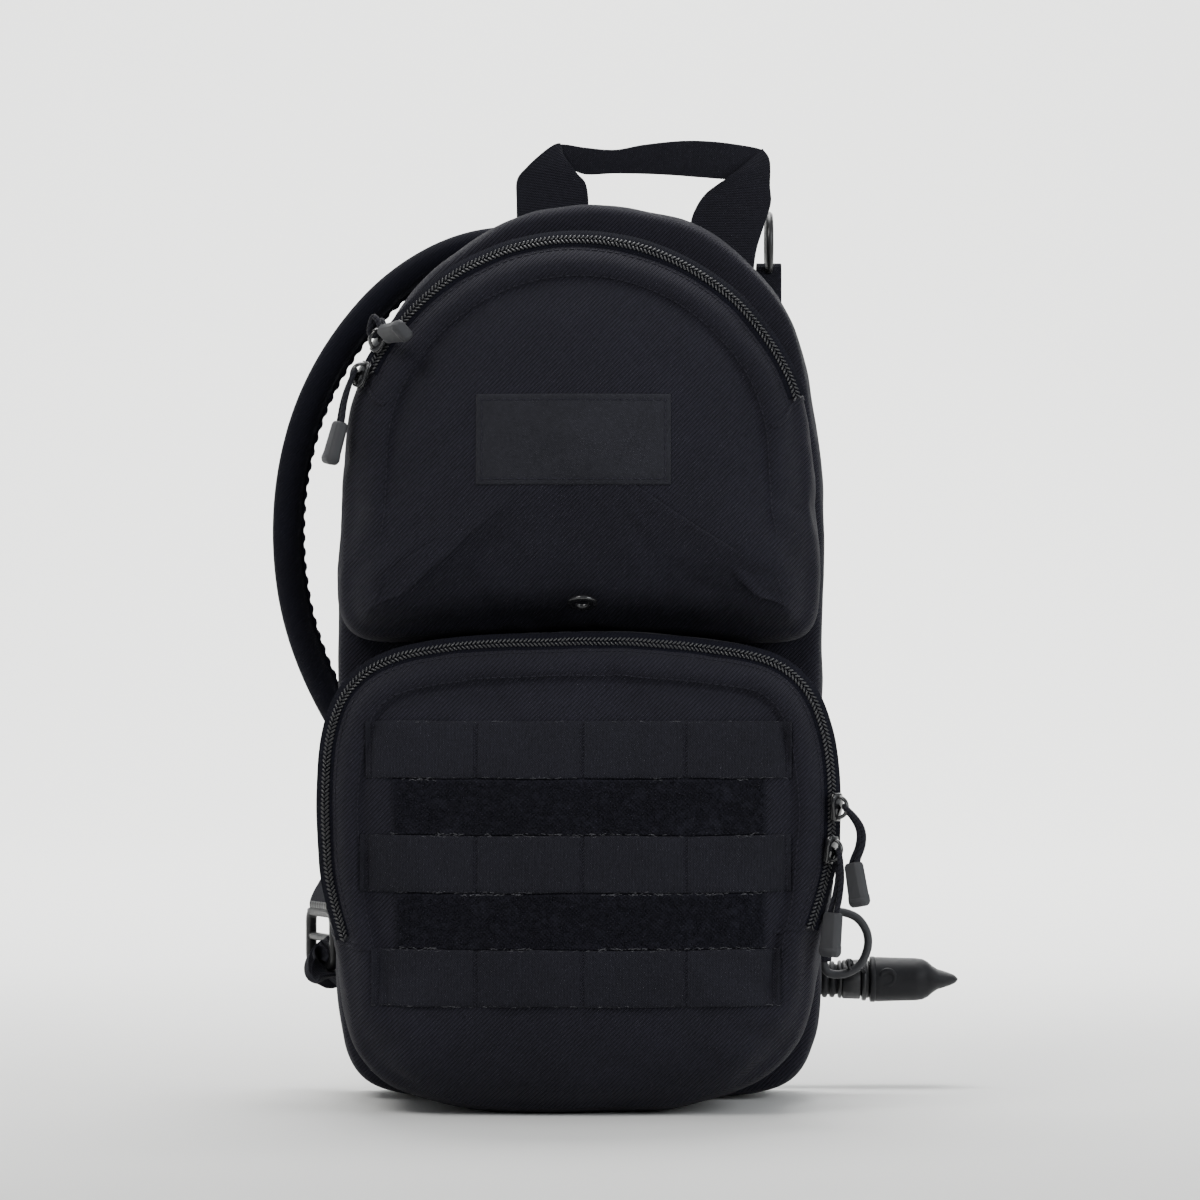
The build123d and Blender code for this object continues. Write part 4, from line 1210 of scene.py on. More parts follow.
class PACK_OT_pockets(bpy.types.Operator):
    """The two front pockets: padded cloth shells with a rolled band, a sewn crease and soft folds"""
    bl_idname = "pack.pockets"
    bl_label = "Pockets"

    def execute(self, context):
        upper, high_loop, pins = pocket("upper_pocket_cloth", UPPER_OUTLINE, UPPER_PROFILE, -70.6, (0, 302),
            236, 300, 2.2)
        sculpted(upper, [((-97, 300), (-86, 262), -1.4, 7), ((-92, 318), (-101, 268), 1.6, 5),
            ((96, 318), (101, 262), 1.8, 5), ((92, 268), (104, 240), 2.2, 6), ((-88, 262), (-102, 240), 1.8, 5),
            ((84, 300), (90, 250), -1.5, 8), ((-40, 236), (30, 233), -1.6, 8), ((-75, 330), (-84, 300), 1.1, 5),
            ((70, 345), (84, 318), 1.2, 5), ((88, 282), (99, 274), 1.6, 4), ((-95, 284), (-86, 276), 1.4, 4)])
        relaxed(upper, pins)
        roughened(upper, 0.75, 38, 1.0, in_front)
        roughened(upper, 0.30, 11, 5.0, in_front)
        subdivided(upper)
        ride_new(upper, "pack", "body_fabric", "upper_pocket")

        lower, low_loop, pins = pocket("lower_pocket_cloth", LOWER_OUTLINE, LOWER_PROFILE, -94.4, (0, 112), 24,
            62, 2.4)
        sculpted(lower, [((70, 44), (101, 24), 2.8, 7), ((62, 34), (92, 16), -1.8, 7),
            ((78, 62), (98, 46), 1.6, 5), ((-78, 40), (-100, 22), 2.6, 7), ((-62, 30), (-88, 14), -1.6, 8),
            ((-98, 72), (-88, 44), 1.7, 5), ((-30, 34), (-8, 14), 0.9, 7), ((14, 22), (58, 12), 1.3, 6),
            ((-54, 16), (-20, 8), 1.0, 6), ((84, 186), (70, 196), 1.1, 5), ((-60, 196), (-30, 188), 0.7, 8),
            ((10, 200), (30, 186), 0.8, 7), ((86, 78), (96, 60), 1.8, 4), ((90, 40), (100, 62), -1.2, 5)])
        relaxed(lower, pins)
        roughened(lower, 0.85, 42, 2.0, lambda p: in_front(p) * (1.5 if p.z < 50 else 1.0))
        roughened(lower, 0.32, 12, 6.0, in_front)
        subdivided(lower)
        grounded(lower)
        ride_new(lower, "pack", "body_fabric", "lower_pocket")
        made["upper_loop"], made["lower_loop"] = high_loop, low_loop
        return {"FINISHED"}


def grounded(piece):
    """Keeps the cloth on the floor: nothing dips under it."""
    for v in piece.data.vertices:
        if v.co.z < FLOOR_GAP:
            v.co.z = FLOOR_GAP + (v.co.z - FLOOR_GAP) * 0.02
    return piece


class PACK_OT_main_bag(bpy.types.Operator):
    """The main compartment's cloth, its bound back edge, top band and sewn seams"""
    bl_idname = "pack.main_bag"
    bl_label = "Main bag"

    def execute(self, context):
        loop = smooth_loop(MAIN_OUTLINE, LOOP_POINTS)
        rings = []
        for d, y in ((16, -3.4), (9, -3.9), (4.5, -3.6), (2.0, -2.2), (0.7, 1.0), (-0.4, 8), (-1.0, 17),
                (-1.1, 26), (-0.4, 35), (0.8, 42), (2.2, 46.2), (5.5, 48.2), (12, 48.6)):
            rings.append(at_depth(inset(loop, d), y))
        heart = np.array((0.0, 0.0, 200.0))
        closing = [heart + (rings[0] - heart) * np.array((k, 1.0, k)) for k in (0.5, 0.05)]
        closing_back = [heart + (rings[-1] - heart) * np.array((k, 1.0, k)) for k in (0.7, 0.35, 0.05)]
        bag = lofted("main_bag_cloth", closing[::-1] + rings + closing_back, "cloth")

        def sides(p):
            return 1.0 if 0 < p.y < 44 and p.z > 25 else 0.15
        roughened(bag, 1.5, 46, 4.0, sides)
        roughened(bag, 0.6, 17, 8.0, sides)
        subdivided(bag)
        grounded(bag)
        ride_new(bag, "pack", "body_fabric", "main_compartment")

        # binding over the back edge
        flat = inset(loop, 1.6)
        edge = at_depth(flat, 46.4)
        edge[:, 2] = np.maximum(edge[:, 2], 2.6)
        binding = swept("back_edge_binding", edge, rounded_section(6.2, 3.6, 1.6, 3), "webbing",
                        up=at_depth(loop_normals(flat), 0.0), closed=True)
        ride_new(binding, "pack", "webbing")

        def at_side(side, y, z0, z1):
            rows = [(x, z) for x, z in loop if x * side > 0 and z0 < z < z1]
            rows.sort(key=lambda r: r[1])
            return np.array([(x + side * 1.2, y, z) for x, z in rows])
        for side, word in ((-1, "left"), (1, "right")):
            line, outs = snapped(bag, even(at_side(side, 39.5, 20, 380), 180), 0.1)
            stitches(f"side_seam_stitches_{word}", line, outs, pitch=0.0042)
        return {"FINISHED"}


# --- Zips ---
def zip_row(name, places, outs, cloth):
    """Coil zip on a line: tape, two rows of slanted coil turns and the bead between them."""
    s = sizes()
    count = int(line_length(places) / (s.tooth_pitch / MM))
    spaced = even(np.hstack([places, outs]), count, measured=3)
    p, o = spaced[:, :3], spaced[:, 3:]
    o = unit(o)
    t, b, _ = frames_along(p, o)
    seed_piece = seed_capsule(name + "_seed", 2.7, 0.52, 1.0, 6)
    rows = []
    for sign in (-1, 1):
        shift = p + b * (sign * 1.12) + o * 0.75 + t * (0.35 * sign)
        lean = t * 0.66 + b * sign * 0.75
        rows.append(repeated(f"{name}_coil{sign}", shift, lean, o, seed_piece, "zip_coil", 1.0, 0.04, 5))
    drop(seed_piece)
    ride_new(joined(name + "_coil", rows), "pack", "zip_chain", name + "_chain")
    tape = swept(name + "_tape", p - o * 0.1, [(-5.2, -0.3), (-5.2, 0.18), (-1.8, 0.38), (1.8, 0.38),
        (5.2, 0.18), (5.2, -0.3)], "sleeve", up=o)
    ride_new(tape, "pack", "zip_chain")
    for sign, word in ((-1, "outer"), (1, "inner")):
        line, normals = snapped(cloth, p + b * sign * 6.6, 0.12)
        if np.cross(t[len(t) // 2], o[len(o) // 2])[1] * sign > 0:
            word = {"outer": "inner", "inner": "outer"}[word]
        stitches(f"{name}_stitches_{word}", line, normals, pitch=0.0034, lift=0.05)


class PACK_OT_zips(bpy.types.Operator):
    """Both coil zips with tape, teeth and topstitching"""
    bl_idname = "pack.zips"
    bl_label = "Zips"

    def execute(self, context):
        for name, word, d, depth, ends_at in (("upper_zip", "upper", 3.2, -37.4, (335, 323)),
                                              ("lower_zip", "lower", 3.0, -70.2, (78, 86))):
            def keep(x, z):
                return z > ends_at[0 if x < 0 else 1]
            cloth = made[f"{word}_pocket_cloth"]
            line = part_of_loop(made[f"{word}_loop"], d, depth, keep)
            if word == "lower":
                # the two ends turn inwards
                for p in line:
                    ends = max(0.0, 1 - (p[2] - ends_at[0 if p[0] < 0 else 1]) / 34.0)
                    p[0] -= math.copysign((9.0 if p[0] > 0 else 3.0) * ends ** 1.6, p[0])
                    p[1] -= 4.0 * ends
            places, outs = snapped(cloth, even(line, 320), 0.9)
            ways = np.gradient(places, axis=0)
            radial = unit(np.stack([-ways[:, 2], np.zeros(len(ways)), ways[:, 0]], 1))
            radial *= np.sign((radial * (places - places.mean(0))).sum(1))[:, None]
            outs = outs * 0.3 + radial * 0.4 + np.array((0.0, -0.85, 0.0))
            for _ in range(6):
                outs[1:-1] = outs[1:-1] * 0.4 + outs[:-2] * 0.3 + outs[2:] * 0.3
                places[1:-1] = places[1:-1] * 0.6 + places[:-2] * 0.2 + places[2:] * 0.2
            outs = unit(outs)
            zip_row(name, places, outs, cloth)
        return {"FINISHED"}


# --- Webbing rows, loop strips, patch and seams on the pockets ---
def draped_grid(name, cloth, columns, rows, thickness, material, height, lift=0.15, sway=None):
    """A strip laid on the front of a pocket. columns and rows are x and z; height(x, z) adds relief."""
    nx, nz = len(columns), len(rows)
    front, back = [], []
    smooth_y = np.array([[front_of(cloth, x, z)[0] for z in rows] for x in columns])
    for _ in range(3):
        smooth_y[1:-1] = smooth_y[1:-1] * 0.5 + smooth_y[:-2] * 0.25 + smooth_y[2:] * 0.25
    for i, x in enumerate(columns):
        for k, z in enumerate(rows):
            shift = sway(x, z) if sway else 0.0
            y = smooth_y[i, k] - lift
            front.append((x, y - thickness - height(x, z), z + shift))
            back.append((x, y + 0.6, z + shift))
    points = front + back
    base = nx * nz
    faces = []
    for i in range(nx - 1):
        for k in range(nz - 1):
            a = i * nz + k
            faces.append((a, a + nz, a + nz + 1, a + 1))
            faces.append((base + a, base + a + 1, base + a + nz + 1, base + a + nz))
    edge = ([i * nz for i in range(nx)] + [(nx - 1) * nz + k for k in range(1, nz)]
            + [i * nz + nz - 1 for i in range(nx - 2, -1, -1)] + [k for k in range(nz - 2, 0, -1)])
    for a, b in zip(edge, edge[1:] + edge[:1]):
        faces.append((a, b, base + b, base + a))
    return outward(mesh_piece(name, points, faces, material))


def fringe(strip, edges, count, span, lift, rise, lean, bare, tilt):
    """Places and directions of loose fibres along a strip's edges, except where bare(x, z) holds."""
    places, along, out = [], [], []
    for edge_z in edges:
        for _ in range(count):
            x = random.uniform(*span)
            if bare(x, edge_z):
                continue
            y = front_of(strip, x, edge_z)[0]
            places.append((x, y - lift, edge_z + random.uniform(*rise)))
            along.append((1, random.uniform(-lean[0], lean[0]), random.uniform(-lean[1], lean[1])))
            out.append((0, -1, tilt()))
    return places, along, out


ROW_FEET = {"low": 50.5, "middle": 101.5, "top": 152.5}
TACK_X = (-45.5, 2.0, 48.0)


class PACK_OT_webbing_rows(bpy.types.Operator):
    """Three rows of ribbed webbing with bar-tacks, and frayed light fibres on their edges"""
    bl_idname = "pack.webbing_rows"
    bl_label = "Webbing rows"

    def execute(self, context):
        s = sizes()
        cloth = made["lower_pocket_cloth"]
        wide = s.webbing_width / MM
        pitch = s.rib_pitch / MM * 1.25
        random.seed(11)
        for word, foot in ROW_FEET.items():
            left, right = {"top": (-95.0, 96.0), "middle": (-97.5, 95.5), "low": (-92.5, 91.0)}[word]
            columns = np.arange(left, right, pitch / 4)
            rows = foot + wide * np.array([0.0, 0.012, 0.04, 0.1, 0.2, 0.3, 0.4, 0.5, 0.6, 0.7, 0.8, 0.9, 0.96,
                0.988, 1.0])

            def height(x, z):
                across = (z - foot) / wide
                rib = 0.16 * math.sin(2 * math.pi * x / pitch)
                knots = (left + 3, *TACK_X, right - 3)
                near = min(abs(x - k) for k in knots)
                pillow = 0.9 * (1 - math.exp(-(near / 10.0) ** 2))
                tack = -0.75 * math.exp(-(near / 1.1) ** 2)
                edge = -0.55 * math.exp(-(min(across, 1 - across) / 0.02) ** 2)
                cross = 0.05 * math.sin(2 * math.pi * z / 0.9 + 3 * math.sin(x))
                return rib + pillow + tack + edge + cross

            def sway(x, z):
                return 0.5 * wavy(x, 0, foot, 26, 3.0) + 0.25 * wavy(x, z * 0.1, foot, 8, 9.0)
            row = draped_grid(f"webbing_row_{word}_woven", cloth, columns, rows, 1.0, "webbing", height, 0.2,
                sway)
            ride_new(row, "pack", "webbing", f"webbing_row_{word}")
            # bar-tacks: dense zigzag stitches across the webbing
            places, along = [], []
            for x in (left + 2.6, *TACK_X, right - 2.6):
                for k in range(34):
                    z = foot + 1.4 + (wide - 2.8) * k / 33
                    y = front_of(row, x, z)[0]
                    places.append((x + (0.42 if k % 2 else -0.42), y - 0.22, z))
                    along.append((0.55 if k % 2 else -0.55, 0, 0.8))
            seed_piece = seed_capsule("tack_seed", 1.5, 0.26, 0.7, 5)
            tacks = repeated(f"bar_tacks_{word}", places, along, [(0, -1, 0)] * len(places), seed_piece,
                "thread", 1.0, 0.1, 7)
            ride_new(tacks, "pack", "webbing")
            # loose light fibres along both edges
            places, along, out = fringe(row, (foot + 0.3, foot + wide - 0.3), 85, (left + 1, right - 1), 0.15,
                (-0.35, 0.35), (0.2, 0.35), lambda x, z: wavy(x, 0, z, 14, 5.0) < -0.25,
                lambda: random.uniform(-0.3, 0.3))
            seed_piece.data.transform(Matrix.Diagonal((1.0, 0.22, 0.22, 1.0)))
            lint = repeated(f"edge_fibres_{word}", places, along, out, seed_piece, "lint", 1.0, 0.7, 12)
            drop(seed_piece)
            ride_new(lint, "pack", "webbing")
        return {"FINISHED"}


class PACK_OT_loop_strips(bpy.types.Operator):
    """Two fuzzy loop-fastener strips, with a light frayed edge"""
    bl_idname = "pack.loop_strips"
    bl_label = "Loop-fastener strips"

    def execute(self, context):
        cloth = made["lower_pocket_cloth"]
        random.seed(23)
        for word, foot, left, right in (("low", 76.4, -81.5, 84.0), ("top", 127.4, -83.0, 84.0)):
            columns = np.linspace(left, right, 150)
            rows = foot + np.linspace(0, 24.6, 24)

            def height(x, z):
                return 0.5 * wavy(x, 0, z, 3.1, 2.0) + 0.25 * wavy(x, 0, z, 1.3, 6.0)
            strip = draped_grid(f"loop_strip_{word}_ground", cloth, columns, rows, 0.9, "pile", height, 0.1)
            ride_new(strip, "pack", "loop_pile", f"loop_strip_{word}")
            places, along, out = [], [], []
            for _ in range(3600):
                x, z = random.uniform(left + 0.8, right - 0.8), foot + random.uniform(0.8, 23.8)
                if wavy(x, 0, z, 6.0, 4.0) < -0.45:
                    continue
                y = front_of(strip, x, z)[0]
                places.append((x, y - 0.25, z))
                a = random.uniform(0, math.pi)
                along.append((math.cos(a), random.uniform(-0.5, 0.5), math.sin(a)))
                out.append((random.uniform(-0.5, 0.5), -1, random.uniform(-0.5, 0.5)))
            tuft = seed_capsule("tuft_seed", 1.5, 0.20, 1.0, 4)
            pile = repeated(f"loop_strip_{word}_pile", places, along, out, tuft, "pile", 1.0, 0.35, 17)
            ride_new(pile, "pack", "loop_pile")
            places, along, out = fringe(strip, (foot + 0.2, foot + 24.4), 170, (left, right), 0.35, (-0.3, 0.4),
                (0.3, 0.5), lambda x, z: wavy(x, 3, z, 17, 8.0) < -0.05, lambda: 0.2)
            tuft.data.transform(Matrix.Diagonal((1.0, 0.42, 0.42, 1.0)))
            fray = repeated(f"loop_strip_{word}_fray", places, along, out, tuft, "lint", 1.0, 0.6, 19)
            drop(tuft)
            ride_new(fray, "pack", "loop_pile")
        return {"FINISHED"}


class PACK_OT_patch(bpy.types.Operator):
    """Bare cloth patch with a stitched border on the upper pocket"""
    bl_idname = "pack.patch"
    bl_label = "Patch"

    def execute(self, context):
        cloth = made["upper_pocket_cloth"]
        low, high = (-46.0, 284.0), (42.0, 325.0)
        columns, rows = (np.unique([a, a + 0.4, *np.linspace(a + 1, b - 1, count), b - 0.4, b])
                         for a, b, count in zip(low, high, (60, 30)))

        def height(x, z):
            near = min(x - low[0], high[0] - x, z - low[1], high[1] - z)
            return -0.55 * math.exp(-(near / 0.5) ** 2) - 0.22 * math.exp(-((near - 2.6) / 0.7) ** 2)
        patch = draped_grid("patch_bare", cloth, columns, rows, 0.85, "patch", height, 0.1)
        ride_new(patch, "pack", "patch_fabric", "patch")
        m = 2.6
        corners = [(low[0] + m, low[1] + m), (high[0] - m, low[1] + m), (high[0] - m, high[1] - m),
            (low[0] + m, high[1] - m)]
        for k, word in enumerate(("foot", "right", "head", "left")):
            (ax, az), (bx, bz) = corners[k], corners[(k + 1) % 4]
            line = np.array([(ax + (bx - ax) * t, front_of(patch, ax + (bx - ax) * t, az + (bz - az) * t)[0],
                              az + (bz - az) * t) for t in np.linspace(0, 1, 40)])
            stitches(f"patch_stitches_{word}", line, np.broadcast_to((0.0, -1.0, 0.0), line.shape),
                pitch=0.0031, lift=0.1)
        return {"FINISHED"}


class PACK_OT_seams(bpy.types.Operator):
    """Topstitching beside the creases and the cross seams of both pockets"""
    bl_idname = "pack.seams"
    bl_label = "Seams"

    def execute(self, context):
        for word, d, depth, above in (("upper", 20.2, -49.0, 262), ("lower", 18.2, -82.0, 60)):
            line = even(part_of_loop(made[f"{word}_loop"], d, depth, lambda x, z: z > above), 300)
            places, outs = snapped(made[f"{word}_pocket_cloth"], line, 0.05)
            stitches(f"crease_stitches_{word}_inner", places, outs, pitch=0.0034, lift=0.02)
        # cross seams that run out from the ends of the zips: a raised lip of folded cloth
        for word, end, points in (
                ("upper", "left", [(-99, -36, 333), (-94, -44, 324), (-88, -48, 321)]),
                ("upper", "right", [(107, -22, 326), (99, -38, 322), (94, -46, 314), (88, -48, 311)]),
                ("lower", "left", [(-112, -30, 82), (-110, -60, 80), (-102, -75, 77), (-92, -81, 76)]),
                ("lower", "right", [(112, -30, 92), (108, -64, 88), (97, -78, 85), (88, -81, 83)])):
            places, outs = snapped(made[f"{word}_pocket_cloth"], smooth_open(points, 60), 0.0)
            lip = swept(f"cross_seam_{word}_{end}", places, rounded_section(2.4, 1.1, 0.5, 2), "cloth", up=outs)
            ride_new(lip, "pack", "body_fabric")
        return {"FINISHED"}


# --- Top: grab handle, ring and tube port ---
def band_ring(places, half, face):
    """Cross-section of a strap: the places across it, lifted to both faces by half its thickness."""
    lower = [p - face * h for p, h in zip(places, half)]
    return [p + face * h for p, h in zip(places, half)] + lower[::-1]


def strip_of(name, line, width_dir, width, thickness, ribs=0.1, pitch=1.3):
    """Ribbed flat strap along a line. width_dir gives the strap's width direction at each point."""
    line = np.array(line, float)
    width_dir = np.broadcast_to(np.array(width_dir, float), line.shape)
    ahead = unit(np.gradient(line, axis=0))
    wide = unit(width_dir - ahead * (width_dir * ahead).sum(1)[:, None])
    face = np.cross(ahead, wide)
    steps = distances(line)
    across = [-0.5, -0.485, -0.45, -0.36, -0.24, -0.12, 0.0, 0.12, 0.24, 0.36, 0.45, 0.485, 0.5]
    rings = []
    for i, p in enumerate(line):
        relief = ribs * math.sin(2 * math.pi * steps[i] / pitch)
        half = [thickness / 2 * (0.55 if abs(a) > 0.49 else 1.0) + relief * (abs(a) < 0.47) for a in across]
        rings.append(band_ring([p + wide[i] * a * width for a in across], half, face[i]))
    return lofted(name, rings, "webbing")


def ribbon(name, one_edge, other_edge, rows=300, thickness=1.5, ribs=0.13, pitch=1.25):
    """Ribbed webbing whose two edges are given as points; its ribs run from edge to edge."""
    one, other = smooth_open(one_edge, rows), smooth_open(other_edge, rows)
    middle = (one + other) / 2
    steps = distances(middle)
    face = unit(np.cross(np.gradient(middle, axis=0), other - one))
    across = (0.0, 0.012, 0.04, 0.14, 0.26, 0.38, 0.5, 0.62, 0.74, 0.86, 0.96, 0.988, 1.0)
    rings = []
    for i in range(rows):
        relief = ribs * math.sin(2 * math.pi * steps[i] / pitch)
        half = [thickness / 2 * (0.5 if k in (0.0, 1.0) else 1.0) + relief * (0.02 < k < 0.98) for k in across]
        rings.append(band_ring([one[i] * (1 - k) + other[i] * k for k in across], half, face[i]))
    return outward(lofted(name, rings, "webbing"))


class PACK_OT_handle(bpy.types.Operator):
    """Webbing grab handle: two legs, folded corners and the strip between them, sewn to its tabs"""
    bl_idname = "pack.handle"
    bl_label = "Grab handle"

    def execute(self, context):
        # each ribbon lies between two edges, given from its foot or from its left end as (x, y, z)
        left = ribbon("handle_leg_left", [(-29.2, 50.4, 377), (-29.3, 50.4, 400), (-29.6, 50.3, 420),
            (-29.4, 50.0, 431), (-24.7, 49.4, 437.2), (-18.0, 49.3, 443.4), (-12.4, 50.2, 447.6),
            (-9.4, 52.2, 448.8)], [(2.6, 50.4, 377), (3.2, 50.4, 400), (4.6, 50.4, 418), (3.4, 50.2, 429.0),
            (-0.6, 49.8, 434.0), (-4.8, 50.2, 439.2), (-7.6, 51.4, 443.4), (-8.6, 53.0, 446.6)])
        right = ribbon("handle_leg_right", [(50.6, 50.4, 377), (51.2, 50.4, 395), (53.0, 50.4, 411),
            (55.8, 50.2, 418.6), (60.0, 50.0, 424.6), (65.4, 49.8, 428.8), (70.6, 50.0, 432.2),
            (75.5, 51.4, 435.6)], [(82.0, 50.4, 377), (83.8, 50.4, 395.8), (87.6, 50.4, 409),
            (91.0, 50.1, 420.0), (90.6, 49.5, 428.4), (90.8, 49.2, 436.0), (90.2, 49.8, 441.4),
            (87.4, 51.6, 445.8)])
        grip = ribbon("handle_grip", [(-12.6, 52.4, 446.4), (-8.0, 53.6, 448.4), (3.4, 54.2, 446.8),
            (17.0, 54.4, 445.8), (31.0, 54.2, 448.2), (49.0, 53.8, 450.0), (64.0, 53.4, 449.6),
            (77.7, 52.8, 447.8), (86.4, 51.9, 445.8), (89.6, 51.4, 442.6)],
            [(-11.6, 52.8, 443.4), (-6.0, 55.0, 438.6), (2.4, 56.6, 434.4), (17.0, 57.2, 434.8),
            (30.7, 57.2, 434.6), (43.0, 56.8, 434.0), (58.0, 56.0, 432.8), (71.0, 54.8, 431.8),
            (80.0, 53.4, 432.6), (88.0, 51.8, 437.4)])
        handle = joined("grab_handle_webbing", [left, right, grip])
        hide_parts("grab_handle", "handle_tabs")
        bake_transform(handle)
        made[handle.name] = handle
        for word, x in (("left", -13.2), ("right", 66.8)):
            box_line = [(x + aside, 51.3, z) for aside, z in ((-9.5, 381), (9.5, 381), (9.5, 399), (-9.5, 399),
                                                              (-9.5, 381), (9.5, 399))]
            line = np.vstack([np.linspace(a, b, 12) for a, b in zip(box_line, box_line[1:])])
            stitches(f"handle_box_stitch_{word}", line, np.broadcast_to((0.0, 1.0, 0.0), line.shape),
                pitch=0.003)
        return {"FINISHED"}


class PACK_OT_ring_and_port(bpy.types.Operator):
    """Black accessory ring on its webbing tab, and the cloth port that the tube leaves"""
    bl_idname = "pack.ring_and_port"
    bl_label = "Ring and tube port"

    def execute(self, context):
        centre = np.array((90.5, 66.0, 402.0))
        angles = np.linspace(0, 2 * math.pi, 64, endpoint=False)
        line = [centre + 13.5 * np.array((0, math.cos(a), math.sin(a))) for a in angles]
        up = np.array([(0, math.cos(a), math.sin(a)) for a in angles])
        ring = swept("accessory_ring", line, circle(1.9, 14), "buckle", up=up, closed=True)
        ride_new(ring, "ring", "buckle_plastic", "strap_ring")
        tab = smooth_open([(90.5, 50.2, 341), (90.5, 50.2, 352), (90.5, 52.0, 358), (90.5, 60.0, 366),
            (90.5, 62.4, 378), (90.5, 62.2, 386), (90.5, 64.0, 391.3), (90.5, 68.0, 391.3), (90.5, 69.9, 386),
            (90.5, 68.4, 374), (90.5, 63.0, 362), (90.5, 54.0, 353)], 320)
        ride_new(strip_of("ring_webbing", tab, (1, 0, 0), 12.0, 1.3), "pack", "webbing", "ring_tab")
        stitches("ring_tab_stitches",
            np.array([(90.5 + 5 * math.sin(t * 9), 51.4, 342 + 12 * t) for t in np.linspace(0, 1, 40)]),
            np.array([(0.0, 1.0, 0.0)] * 40), pitch=0.0028)
        low, high = (Vector(v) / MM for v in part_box("tube_port"))
        rings = []
        y0, y1 = low.y - 1.0, high.y
        for y, grow in ((y0, 2.0), (y0 + 1.5, 0.8), ((y0 + y1) / 2, 0.2), (y1 - 4, -0.8), (y1 - 1, -2.8),
                (y1, -6.0)):
            ring_points = []
            for sx, sz in rounded_section(high.x - low.x + 2 * grow, high.z - low.z + 2 * grow,
                    6.0 + grow * 0.3, 5):
                ring_points.append(((low.x + high.x) / 2 + sx, y, (low.z + high.z) / 2 + sz))
            rings.append(ring_points)
        port = subdivided(lofted("tube_port_cloth", rings, "cloth"))
        roughened(port, 0.35, 9, 3.0)
        ride_new(port, "pack", "body_fabric", "tube_port")
        rim = turned("tube_port_rim", [(-0.6, 7.0), (-0.6, 8.9), (0.2, 9.4), (1.0, 8.9), (1.0, 7.0)],
            (3.0, 61, 404), "webbing", segments=40)
        ride_new(rim, "pack", "body_fabric")
        return {"FINISHED"}


# --- Sides: side loop and ladder locks ---
class PACK_OT_side_loop(bpy.types.Operator):
    """Moulded grey clip loop on the right edge, and the webbing tab that holds it"""
    bl_idname = "pack.side_loop"
    bl_label = "Side loop"

    def execute(self, context):
        bar = [(116.0, 47.0, z) for z in (59.5, 66.0, 75.0, 81.5)]
        bow = [(118.5, 47.0, 84.0), (125.0, 47.0, 84.2), (131.8, 47.0, 81.4), (136.0, 47.0, 75.5),
            (136.9, 47.0, 69.0), (135.0, 47.0, 62.5), (131.4, 47.0, 57.8), (125.0, 47.0, 55.0),
            (118.5, 47.0, 55.4)]
        line = smooth_loop([*bar, *bow], 110)
        sides = frames_along(np.vstack([line, line[:1]]), up=(0.0, 1.0, 0.0))[2][:-1]
        loop = swept("side_clip_loop", line, [(2.0 * x, 2.15 * y) for x, y in circle(1.0, 14)], "grey_rubber",
            up=sides, closed=True)
        ride_new(loop, "side_loop", "loop_rubber", "side_loop")
        tab = smooth_open([(110.5, 44.2, 70.5), (113.5, 43.6, 70.5), (117.2, 43.9, 70.5), (119.0, 47.0, 70.5),
            (117.2, 50.1, 70.5), (113.5, 50.4, 70.5), (110.5, 49.8, 70.5)], 90)
        band = strip_of("side_loop_webbing", tab, (0, 0, 1), 19.0, 1.2, 0.07)
        ride_new(band, "pack", "webbing", "side_loop_tab")
        return {"FINISHED"}


def ladder_lock(name, top, turn):
    """Moulded ladder lock: rounded frame with a middle bar and a ribbed lifting lip."""
    wide, tall, thick = 34.0, 30.0, 5.0
    c, s = math.cos(math.radians(turn)), math.sin(math.radians(turn))
    along, side, above = np.array((c, s, 0.0)), np.array((0.0, 0.0, 1.0)), np.array((s, -c, 0.0))
    line = even([(x, z - tall / 2, 0) for x, z in rounded_section(wide - 4.4, tall - 4.4, 5.0, 5)], 90, True)
    frame_ring = swept(name + "_frame", line, rounded_section(4.2, thick, 1.6, 3), "buckle", up=(0.0, 0.0, 1.0),
        closed=True)
    bars = []
    for z, w, t in ((-tall / 2 + 0.5, 3.6, 4.2), (-3.0, 3.6, 4.6)):
        bar = swept(f"{name}_bar{z:.0f}", [(x, z, 0) for x in np.linspace(-wide / 2 + 2.5, wide / 2 - 2.5, 8)],
                    rounded_section(w, t, 1.2, 3), "buckle", up=(0.0, 0.0, 1.0))
        bars.append(bar)
    lip = swept(name + "_lip", [(x, 0.6, 1.2) for x in np.linspace(-wide / 2 + 6, wide / 2 - 6, 30)],
        rounded_section(3.4, 2.6, 1.0, 3), "buckle", up=(0.0, 0.0, 1.0),
        scale=[1.0 + 0.05 * math.sin(k * 1.6) for k in range(30)])
    pieces = [local_piece(p, top, along, side, above) for p in (frame_ring, *bars, lip)]
    return ride_new(joined(name, pieces), "pack", "buckle_plastic")


